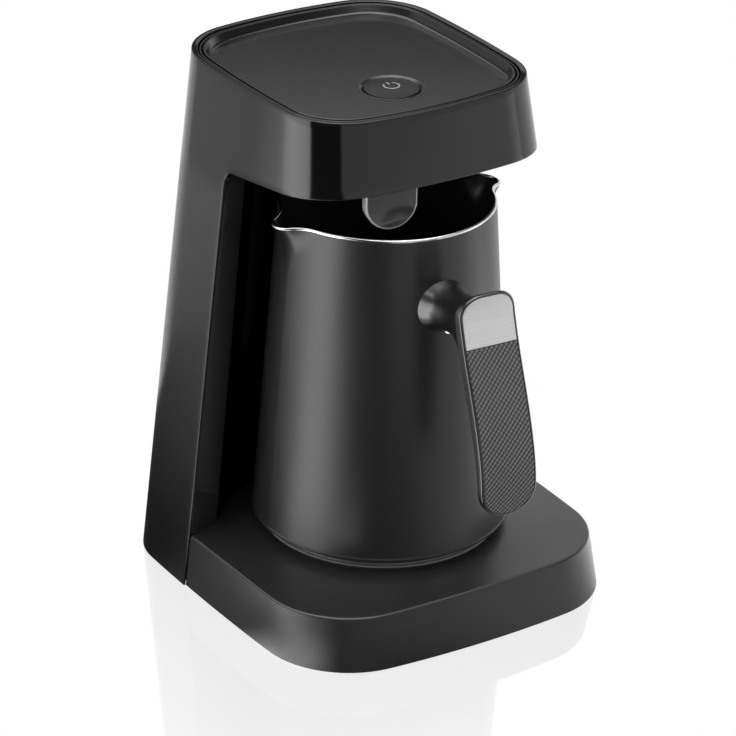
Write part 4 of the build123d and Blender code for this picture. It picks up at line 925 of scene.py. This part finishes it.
def printed(points):
    """Rings of a thin printed line along points, lying on the key's domed top."""
    rows = []
    for k, point in enumerate(points):
        ahead = Vector(points[min(k + 1, len(points) - 1)]) - Vector(points[max(k - 1, 0)])
        off = Vector((-ahead.y, ahead.x)).normalized() * MARK_HALF
        left, right = Vector(point) + off, Vector(point) - off
        row = ((left, MARK_RISE), (right, MARK_RISE), (right, -0.1), (left, -0.1))
        rows.append([(p.x, BUTTON_Y + p.y, key_top(p.length) + rise) for p, rise in row])
    return rows


turns = evenly(MARK_GAP, FULL_TURN - MARK_GAP, 60)
ring = [(MARK_RADIUS * math.sin(t), MARK_RADIUS * math.cos(t)) for t in turns]
bar = [(0.0, y) for y in evenly(*MARK_BAR, 8)]
mark_ink = Finish("mark_ink", (0.30, 0.30, 0.30), Roughness=0.5)
wear = mark_ink.noise(900.0, 3.0)
mark_ink.tint(wear.step(0.5, 0.9), (0.18, 0.18, 0.18))
piece("button_mark", solid((printed(ring), "flat"), (printed(bar), "flat")), mark_ink, "button", "trim_grey")

BEZEL_BORE, BEZEL_RIM, BEZEL_OUTER, BEZEL_LEDGE = 12.05, 13.4, 14.0, 16.0
BEZEL_LOW, LEDGE_TOP, DISH_LOW, BEZEL_TOP = 221.9, 223.4, 225.2, 226.2
profile = soften([
    (BEZEL_BORE, BEZEL_LOW, 0), (BEZEL_BORE, DISH_LOW, 0.25), (BEZEL_RIM, BEZEL_TOP, 0.15),
    (BEZEL_OUTER, BEZEL_TOP, 0.15), (BEZEL_OUTER, LEDGE_TOP, 0), (BEZEL_LEDGE, LEDGE_TOP, 0),
    (BEZEL_LEDGE, BEZEL_LOW, 0),
], closed=True, steps=3)
bezel_black = Finish("bezel_black", grey(0.02, 0.001)).wear(300.0, 2.0, (0.22, 0.12))
shape = solid((turned(profile, BUTTON_AT), "loop"))
piece("bezel_ring", shape, bezel_black, "machine", "black_moulding", "button_bezel")


# ---- Pot -------------------------------------------------------------------------------------
# A drawn metal pot in satin black enamel, tapering upward, with a rolled lip and a narrow
# pouring spout pulled out on each side.  A fine bead runs round its lower edge.
POT_TURN = math.radians(-3.0)
POT_X = (math.cos(POT_TURN), math.sin(POT_TURN))
POT_OUT = (math.sin(POT_TURN), -math.cos(POT_TURN))
POT_LOW_RADIUS = 55.8
POT_TAPER = 9.8
POT_WALL = 1.2
POT_SKIRT = 29.9
POT_FOOT = 32.3
POT_FLOOR = 31.9
POT_TOP = 176.8
POT_INSIDE = POT_FLOOR + POT_WALL
SPOUT_START = 151.0
SPOUT_REACH = 9.1
TIP_RADIUS = (22.0, 7.0)  # of a spout's tip, where the spout starts and at the rim
HOLLOW_RADIUS = (45.0, 18.0)  # of the hollow each side of a spout, likewise
DIP = 2.9
DIP_FROM, DIP_TO = 35.0, 56.0
WALL_LEVELS = [70.0, 100.0, 125.0, 140.0]
LIP = 0.62


def pot_radius(height):
    return POT_LOW_RADIUS - POT_TAPER * (height - POT_SKIRT) / (POT_TOP - POT_SKIRT)


def spout_share(height):
    """0 where the spouts start, 1 at the rim."""
    return max(0.0, (height - SPOUT_START) / (POT_TOP - SPOUT_START))


def pot_plan(height, inset):
    """Plan of the pot at one height as a closed ring, a circle with a hollow-sided spout each side."""
    rise = spout_share(height)
    main = pot_radius(height) - inset
    reach = pot_radius(height) + 0.05 + SPOUT_REACH * rise ** 2.5 - inset
    tip = TIP_RADIUS[0] + (TIP_RADIUS[1] - TIP_RADIUS[0]) * rise - inset
    hollow = HOLLOW_RADIUS[0] + (HOLLOW_RADIUS[1] - HOLLOW_RADIUS[0]) * rise + inset
    tip_x = reach - tip
    hollow_x = ((main + hollow) ** 2 - (tip + hollow) ** 2 + tip_x ** 2) / (2 * tip_x)
    hollow_y = math.sqrt(max(0.0, (main + hollow) ** 2 - hollow_x ** 2))
    pivot = (hollow_x, hollow_y)
    main_turn = math.atan2(hollow_y, hollow_x)
    tip_turn = math.atan2(hollow_y, hollow_x - tip_x)
    quarter = arc((0, 0), main, math.pi / 2, main_turn, 40)
    quarter += arc(pivot, hollow, main_turn + math.pi, tip_turn + math.pi, 12)[1:]
    quarter += arc((tip_x, 0), tip, tip_turn, 0.0, 10)[1:]
    half = quarter + [(x, -y) for x, y in reversed(quarter[:-1])]
    return half + [(-x, y) for x, y in reversed(half[1:-1])]


def pot_point(x, y, z):
    """From the pot's own axes to the machine's."""
    return (x * POT_X[0] - y * POT_OUT[0], POT_Y + x * POT_X[1] - y * POT_OUT[1], z)


def lip_height(x):
    """The rim dips slightly towards each spout."""
    share = max(0.0, (abs(x) - DIP_FROM) / (DIP_TO - DIP_FROM))
    return POT_TOP - DIP * share ** 1.4


def pot_ring(height, inset, lift=0.0):
    """One ring of the pot's wall; near the top the rings bend down with the lip at the spouts."""
    share = spout_share(height) ** 2
    return [pot_point(x, y, height - (POT_TOP - lip_height(x)) * share + lift)
            for x, y in pot_plan(min(height, POT_TOP), inset)]


def pot_disc(plan, z, shares):
    """Flat rings that each take a share of a plan; a share of 0 is the point in the middle."""
    return [[pot_point(x * share, y * share, z) for x, y in (plan if share else plan[:1])]
            for share in shares]


foot = soften([(0.9, POT_FOOT, 0), (-0.25, POT_FOOT + 0.1, 0.3), (-0.25, POT_FOOT + 1.1, 0.3),
               (0.0, POT_FOOT + 1.6, 0.2), (0.0, 40.0, 0)], steps=3)
flare = evenly(SPOUT_START, POT_TOP - 1.0, 16)
rings = pot_disc(pot_plan(POT_FLOOR, 1.3), POT_FLOOR, (0, 0.2, 0.6))
rings += [pot_ring(POT_FLOOR, 1.3), pot_ring(POT_FOOT, 1.25)]
rings += [pot_ring(z, inset) for inset, z in foot]
rings += [pot_ring(z, 0.0) for z in WALL_LEVELS + flare]
rings += [pot_ring(POT_TOP - 1.0, POT_WALL * share) for share in (0.3, 0.7)]
rings += [pot_ring(z, POT_WALL) for z in reversed([46.0] + WALL_LEVELS + flare)]
rings += [pot_ring(POT_INSIDE + rise, POT_WALL + inset) for inset, rise in round_over(8.0, 8)]
rings += pot_disc(pot_plan(40.0, 9.0), POT_INSIDE, (0.75, 0.5, 0.25, 0.08, 0))
enamel = Finish("pot_enamel", grey(0.011))
orange_peel = enamel.noise(620.0, 2.0)
drift = enamel.noise(16.0, 3.0)
enamel.set("Roughness", 0.30 + drift * 0.06)
enamel.bump(orange_peel, 0.00005, 0.35)
enamel.tint(drift.step(0.3, 0.8), grey(0.015))
piece("pot_vessel", solid((rings, "open")), enamel, "pot", "pot_black", "pot_shell", crease=50.0)

rings = [pot_ring(POT_TOP - 1.3, 0.02), pot_ring(POT_TOP - 1.0, -0.02)]
rings += [pot_ring(POT_TOP - LIP, POT_WALL / 2 - LIP * math.cos(a), LIP * math.sin(a))
          for a in evenly(0.0, math.pi, 12)]
rings += [pot_ring(POT_TOP - 1.0, POT_WALL + 0.02), pot_ring(POT_TOP - 1.3, POT_WALL - 0.02)]
lip_metal = Finish("rolled_lip", grey(0.72, 0.01), Metallic=1.0)
lip_metal.wear(500.0, 3.0, (0.14, 0.12), (0.35, 0.8), grey(0.55, 0.01))
piece("pot_lip", solid((rings, "loop")), lip_metal, "pot", "steel", crease=70.0)


# ---- Handle: body ----------------------------------------------------------------------------
# A bowed paddle moulded with its round stem in satin black.  Its front has a shallow pocket for
# the two inlays; the stem swells into the paddle and is held on a stud by a screw from below.
def smooth_curve(points):
    """A natural cubic curve through (z, value) points, as a function of z."""
    points = sorted(points)
    zs, values = [p[0] for p in points], [p[1] for p in points]
    count = len(zs)
    gaps = [zs[k + 1] - zs[k] for k in range(count - 1)]
    second = [0.0] * count
    diagonal, right_side = [1.0] * count, [0.0] * count
    for k in range(1, count - 1):
        slope = 6 * ((values[k + 1] - values[k]) / gaps[k] - (values[k] - values[k - 1]) / gaps[k - 1])
        diagonal[k] = 2 * (gaps[k - 1] + gaps[k])
        if k > 1:
            factor = gaps[k - 1] / diagonal[k - 1]
            diagonal[k] -= factor * gaps[k - 1]
            slope -= factor * right_side[k - 1]
        right_side[k] = slope
    for k in range(count - 2, 0, -1):
        second[k] = (right_side[k] - gaps[k] * second[k + 1]) / diagonal[k]

    def value(z):
        z = min(max(z, zs[0]), zs[-1])
        k = max(n for n in range(count - 1) if zs[n] <= z or n == 0)
        a, b = (zs[k + 1] - z) / gaps[k], (z - zs[k]) / gaps[k]
        bend = ((a ** 3 - a) * second[k] + (b ** 3 - b) * second[k + 1]) * gaps[k] ** 2 / 6
        return a * values[k] + b * values[k + 1] + bend

    return value


paddle_front = smooth_curve([(166.2, 82.9), (157, 81.6), (151.5, 83.0), (143.5, 85.6), (125, 92.7),
                             (109, 98.5), (94, 102.4), (83, 103.3), (73.5, 102.2)])
paddle_rear = smooth_curve([(73.5, 97.9), (83, 98.9), (94, 97.4), (109, 92.9), (125, 86.9),
                            (143.5, 80.1), (151.5, 77.6), (157, 76.6), (166.2, 77.6)])
HANDLE_HALF = 13.2
HANDLE_HIGH = 165.6
HANDLE_LOW = 73.5
DRAW_IN = 2.9
DRAW_FROM = 153.0
POCKET_INSET = 1.0
POCKET_DEPTH = 2.15
STEM_FROM = 46.6
STEM_TO = 81.4
STEM_HIGH = 145.0
STEM_SLOPE = 5.0 / 36.5
STEM_WIDEST = 12.9
STEM_FLARE = 66.0
STEM_DROOP = 18.0
stem_width = smooth_curve([(46, 12.3), (49, 10.9), (51.5, 9.8), (55, 9.1), (60, 8.9), (66, 9.5),
                           (74, 11.4), (80.5, 12.9)])


def slab(inset, low=HANDLE_LOW, high=HANDLE_HIGH, low_corner=12.4, high_corner=9.5):
    """Front outline of a rounded slab as (x, z), from its lowest middle point round."""
    half, low, high = HANDLE_HALF - inset, low + inset, high - inset
    low_corner, high_corner = max(0.3, low_corner - inset), max(0.3, high_corner - inset)
    right = [((half - low_corner) * k / 4, low) for k in range(4)]
    right += arc((half - low_corner, low + low_corner), low_corner, -math.pi / 2, 0.0, 12)
    span = (high - high_corner) - (low + low_corner)
    right += [(half, low + low_corner + span * k / 30) for k in range(1, 30)]
    right += arc((half - high_corner, high - high_corner), high_corner, 0.0, math.pi / 2, 12)
    right += [((half - high_corner) * (1 - k / 4), high) for k in range(1, 5)]
    return right + [(-x, z) for x, z in reversed(right[1:-1])]


def on_front(loop, depth):
    return [pot_point(x, depth - paddle_front(z), z) for x, z in loop]


def on_rear(loop, depth):
    """The back, which draws in towards the front near the paddle's top."""
    points = []
    for x, z in loop:
        draw_in = DRAW_IN * max(0.0, (z - DRAW_FROM) / (HANDLE_HIGH - DRAW_FROM)) ** 2
        points.append(pot_point(x, -(paddle_rear(z) + depth + draw_in), z))
    return points


paddle = [on_front(slab(POCKET_INSET + 0.02), POCKET_DEPTH)]
paddle += [on_front(slab(POCKET_INSET), POCKET_DEPTH - 0.02)]
paddle += [on_front(slab(POCKET_INSET - inset), depth) for inset, depth in round_over(0.2, 4)]
paddle += [on_front(slab(inset), depth) for depth, inset in round_over(1.0, 6)]
paddle += [on_rear(slab(inset), depth) for inset, depth in round_over(1.1, 6)]
stem = []
for rho in evenly(STEM_FROM, STEM_TO, 32):
    middle = STEM_HIGH + STEM_SLOPE * (rho - 44.0)
    radius = min(STEM_WIDEST, stem_width(rho))
    droop = STEM_DROOP * max(0.0, (rho - STEM_FLARE) / (STEM_TO - STEM_FLARE)) ** 2.6
    ring = []
    for n in range(64):
        angle = FULL_TURN * n / 64
        side, fall = radius * math.sin(angle), radius * math.cos(angle)
        if fall < 0:
            fall *= 1 + droop / radius
        reach = min(rho + 0.34 * max(0.0, -fall - radius), paddle_rear(middle + fall) + 1.6)
        ring.append(pot_point(side, -reach, middle + fall))
    stem.append(ring)
handle_satin = Finish("handle_satin", grey(0.007), IOR=1.6, Coat_Weight=0.5, Coat_Roughness=0.22)
handle_satin.wear(1500.0, 2.0, (0.21, 0.06), (0.3, 0.8), grey(0.010), bump=(0.00003, 0.4))
shape = solid((paddle, "ladder"), (stem, "flat"))
piece("handle_moulding", shape, handle_satin, "pot", "handle_black", "handle_body", crease=50.0)


# ---- Handle: inlays --------------------------------------------------------------------------
# A brushed steel cap at the top, where the thumb rests, and below it a long grip pad whose
# face is moulded in a fine diagonal weave.  Both are let flush into the paddle's pocket.
INLAY_INSET = 1.15
INLAY_CORNER = INLAY_INSET + 0.5
WEAVE_PITCH = 0.00235


def inlay(low, high, low_corner, high_corner, roundness):
    """A flush inlay: its back in the pocket, then its softly rounded front edge."""
    def loop(inset):
        return slab(INLAY_INSET + inset, low - INLAY_INSET, high + INLAY_INSET, low_corner, high_corner)

    rings = [on_front(loop(0.0), depth) for depth in (2.0, 1.0)]
    rings += [on_front(loop(inset), depth) for inset, depth in round_over(roundness, 5)]
    return solid((rings, "ladder"))


brushed = Finish("brushed_cap", grey(0.62, 0.005), Metallic=0.5)
x, y, z = brushed.axes()
hair = brushed.noise(260.0, 3.0, at=brushed.join(x * 0.12, y * 0.12, z * 14.0))
brushed.set("Roughness", 0.46 + hair * 0.16)
brushed.bump(hair, 0.00002, 0.5)
brushed.tint(hair.step(0.2, 0.8), grey(0.54, 0.005))
thumb_cap = inlay(143.65, HANDLE_HIGH - INLAY_INSET, INLAY_CORNER, 9.5, 0.35)
piece("thumb_cap", thumb_cap, brushed, "pot", "steel", "handle_cap", crease=60.0)

weave = Finish("grip_weave", grey(0.022))
x, y, z = weave.axes()
run = z * 1.06
up_right = ((x - run) * (math.pi / WEAVE_PITCH)).math("SINE") ** 2.0
up_left = ((x + run) * (math.pi / WEAVE_PITCH)).math("SINE") ** 2.0
knit = up_right * (0.5 + up_left * 0.5)
weave.set("Roughness", 0.62 - knit * 0.16)
weave.bump(knit, 0.00022, 0.9)
weave.tint(knit.step(0.15, 0.85), grey(0.135, 0.002))
grip_pad = inlay(HANDLE_LOW + INLAY_INSET, 143.35, 12.4, INLAY_CORNER, 0.3)
piece("grip_pad", grip_pad, weave, "pot", "grip_weave", "handle_grip", crease=60.0)


# ---- Screws ----------------------------------------------------------------------------------
# Zinc-plated pan-head screws with a cross recess, driven up into posts of the base and the head.
# One rule lays a screw at every given point.
SCREW_SIZES = {"Head radius": 2.9, "Head height": 2.0, "Shank radius": 1.5, "Shank length": 12.0,
               "Recess width": 0.9}


def screw_rule():
    """Geometry Nodes: a screw at each point, with its sizes as named inputs."""
    tree = bpy.data.node_groups.new("screw_rule", "GeometryNodeTree")
    rule = Graph(tree)

    def socket(label, kind, way="INPUT"):
        return tree.interface.new_socket(label, in_out=way, socket_type="NodeSocket" + kind).identifier

    socket("Points", "Geometry")
    sizes = {label: socket(label, "Float") for label in SCREW_SIZES}
    metal_input = socket("Metal", "Material")
    socket("Screws", "Geometry", "OUTPUT")
    given = rule.node("NodeGroupInput").outputs
    points, head_radius, head_height, shank_radius, shank_length, recess, metal = (
        Wire(tree, given[k]) for k in range(7))

    def rod(count, radius, length, rise):
        made = rule.out("GeometryNodeMeshCylinder", "Mesh", Vertices=count, Radius=radius, Depth=length)
        return rule.out("GeometryNodeTransform", 0, Geometry=made, Translation=rule.join(0.0, 0.0, rise))

    head = rod(32, head_radius, head_height, head_height * 0.5)
    shank = rod(20, shank_radius, shank_length, shank_length * 0.5 + head_height * 0.98)
    across, deep = head_radius * 1.15, head_height * 1.1
    cut = rule.node("GeometryNodeMeshBoolean", dict(operation="DIFFERENCE"))
    feed(tree, cut.inputs[0], head)
    for size in (rule.join(across, recess, deep), rule.join(recess, across, deep)):
        feed(tree, cut.inputs[1], rule.out("GeometryNodeMeshCube", "Mesh", Size=size))
    whole = rule.node("GeometryNodeJoinGeometry")
    for part in (Wire(tree, cut.outputs[0]), shank):
        feed(tree, whole.inputs[0], part)
    laid = rule.out("GeometryNodeInstanceOnPoints", 0, Points=points, Instance=Wire(tree, whole.outputs[0]))
    real = rule.out("GeometryNodeRealizeInstances", 0, Geometry=laid)
    coated = rule.out("GeometryNodeSetMaterial", 0, Geometry=real, Material=metal)
    feed(tree, rule.node("NodeGroupOutput").inputs[0], coated)
    return tree, sizes, metal_input


zinc = Finish("zinc_plate", (0.62, 0.62, 0.60), Metallic=1.0)
zinc.wear(700.0, 3.0, (0.28, 0.2), (0.3, 0.8), (0.52, 0.53, 0.54))
screw_tree, screw_inputs, metal_input = screw_rule()


def laid_screws(name, points, *replaced, **changed):
    """A group of like screws, standing point up at the given points."""
    mesh = bpy.data.meshes.new(name + "_points")
    mesh.from_pydata([tuple(v * MM for v in point) for point in points], [], [])
    holder = placed(name + "_points", mesh)
    rule = holder.modifiers.new("screws", "NODES")
    rule.node_group = screw_tree
    for label, size in SCREW_SIZES.items():
        rule[screw_inputs[label]] = changed.get(label.replace(" ", "_"), size) * MM
    rule[metal_input] = zinc.material
    piece(name, settled(holder), zinc, "machine", "zinc", *replaced)


PLATE_LOW = 2.2
SHELL_POSTS = [(-42, 86.5), (42, 86.5)]
SCREW_TOP = 214.4
laid_screws("base_screw_set", [(x, y, PLATE_LOW) for x, y in POSTS + SHELL_POSTS], "base_screws")
for name, pair, replaced in (
    ("head_screw_set_front", HEAD_POSTS[:2], ["underside_screws"]),
    ("head_screw_set_rear", HEAD_POSTS[2:], []),
):
    seat = HEAD_EDGE + (SEAM_Y - pair[0][1]) * HEAD_EDGE_RISE + 3.7
    length = SCREW_TOP - SCREW_SIZES["Head height"] - seat
    laid_screws(name, [(x, y, seat) for x, y in pair], *replaced, Shank_length=length)


# ---- Feet ------------------------------------------------------------------------------------
# Soft rubber with a dusty bloom: four low discs pressed into the base plate, the cord's gland and
# the ring under the pot.
rubber = Finish("foot_rubber", (0.016, 0.016, 0.016))
rubber.wear(900.0, 4.0, (0.62, 0.25), (0.45, 0.8), (0.030, 0.029, 0.028), bump=(0.00006, 0.6))
refinish(rubber, "feet", "cord_gland", "pot_foot_ring")


# ---- Base plate ------------------------------------------------------------------------------
# A plate moulded in plain black, with a spark-eroded skin and vent slots.  It closes the base from
# below, and the base screws hold it on.
plate_black = Finish("plate_black", (0.014, 0.014, 0.014))
plate_black.wear(1500.0, 4.0, (0.5, 0.2), (0.4, 0.8), (0.024, 0.024, 0.024), bump=(0.00008, 0.7))
refinish(plate_black, "base_plate")


# ---- Hotplate and the metal round it ---------------------------------------------------------
# A turned stainless disc with fine concentric lines; the pot's disc, the carrier and the handle's
# stud match it.
for name in ("hotplate", "pot_base_disc", "heater_carrier", "handle_stud"):
    steel = Finish(f"{name}_steel", grey(0.58, 0.005), Metallic=1.0)
    x, y, z = steel.axes()
    out = (x ** 2.0 + (y - POT_Y * MM) ** 2.0) ** 0.5
    lines = steel.noise(30.0, 3.0, at=steel.join(out * 90.0, z * 20.0, 0.0))
    steel.set("Roughness", 0.26 + lines * 0.2)
    steel.bump(lines, 0.00003, 0.5)
    steel.tint(lines.step(0.2, 0.8), grey(0.48, 0.005))
    refinish(steel, name)


# ---- Seal ------------------------------------------------------------------------------------
# A ring of grey silicone, moulded in one piece.  It sits round the hotplate and keeps spills out
# of the gap.
silicone = Finish("seal_silicone", grey(0.15, 0.01))
silicone.wear(1200.0, 3.0, (0.45, 0.2), (0.3, 0.8), grey(0.18, 0.01))
refinish(silicone, "hotplate_seal")


# ---- Heat spreader, cutout and probe ---------------------------------------------------------
# A cast spreader under the hotplate, the sprung probe in its middle and the cutout clamped to it.
# All are aluminium with a fine grain, slightly darker where it has been hot.
cast = Finish("cast_aluminium", grey(0.66, 0.01), Metallic=1.0)
cast.wear(800.0, 4.0, (0.38, 0.25), (0.3, 0.8), (0.55, 0.54, 0.53), bump=(0.00005, 0.6))
refinish(cast, "heat_spreader", "thermal_cutout", "thermostat_probe")


# ---- Heating element -------------------------------------------------------------------------
# A ring element in a steel sheath, held up under the hotplate by the carrier.  The heat has turned
# its steel straw and blue in patches.
sheath = Finish("element_sheath", (0.34, 0.31, 0.28), Metallic=1.0)
sheath.wear(60.0, 3.0, (0.35, 0.25), (0.35, 0.7), (0.20, 0.22, 0.27))
refinish(sheath, "heating_element")


# ---- Screws and springs that stay as drawn ---------------------------------------------------
# Small screws that don't show, and the return springs of the button and the probe.  All are zinc
# plated like the screws that show.
refinish(zinc, "carrier_screws", "power_board_screws", "board_screws", "handle_screw", "button_spring",
         "probe_spring")


# ---- Boards and what is soldered on them -----------------------------------------------------
# Glass-fibre boards under green solder mask.  Soldered on them are black and yellow parts, a green
# terminal block and clear lamps.
mask = Finish("solder_mask", (0.015, 0.13, 0.055), Roughness=0.3)
x, y, z = mask.axes()
tracks = ((x + y) * 1400.0).math("SINE") * ((x - y) * 900.0).math("SINE")
mask.set("Roughness", 0.28 + mask.noise(500.0, 2.0) * 0.12)
mask.tint(tracks.step(0.35, 0.45), (0.03, 0.19, 0.09))
refinish(mask, "control_board", "power_board", "sensor_board")

for name, color, grain, second, parts in (
    ("chip_resin", grey(0.028, 0.001), (1800.0, 3.0, (0.42, 0.2), (0.4, 0.8)), grey(0.045, 0.001),
     ("board_chips", "tact_switch", "buzzer", "power_relay")),
    ("capacitor_film", (0.62, 0.42, 0.05), (300.0, 3.0, (0.28, 0.15), (0.3, 0.8)), (0.70, 0.50, 0.09),
     ("filter_capacitor",)),
    ("terminal_nylon", (0.04, 0.32, 0.14), (500.0, 3.0, (0.35, 0.15), (0.3, 0.8)), (0.06, 0.40, 0.18),
     ("terminal_block",)),
    ("led_resin", (0.85, 0.90, 0.95), (1500.0, 2.0, (0.06, 0.12), (0.3, 0.8)), (0.75, 0.82, 0.88),
     ("status_leds",)),
):
    part_finish = Finish(name, color, Alpha=0.7 if name == "led_resin" else 1.0)
    part_finish.wear(*grain, second)
    refinish(part_finish, *parts)


# ---- Wiring loom -----------------------------------------------------------------------------
# The wires that run up the tower from the power board to the control board, bundled in one
# braided black sleeve.
braid = Finish("loom_braid", grey(0.022, 0.002))
x, y, z = braid.axes()
plait = ((x + y + z) * 5200.0).math("SINE") * ((x + y - z) * 5200.0).math("SINE")
braid.set("Roughness", 0.62 - plait * 0.1)
braid.bump(plait, 0.0001, 0.7)
braid.tint(plait.step(0.0, 0.8), grey(0.045, 0.003))
refinish(braid, "wiring_loom")
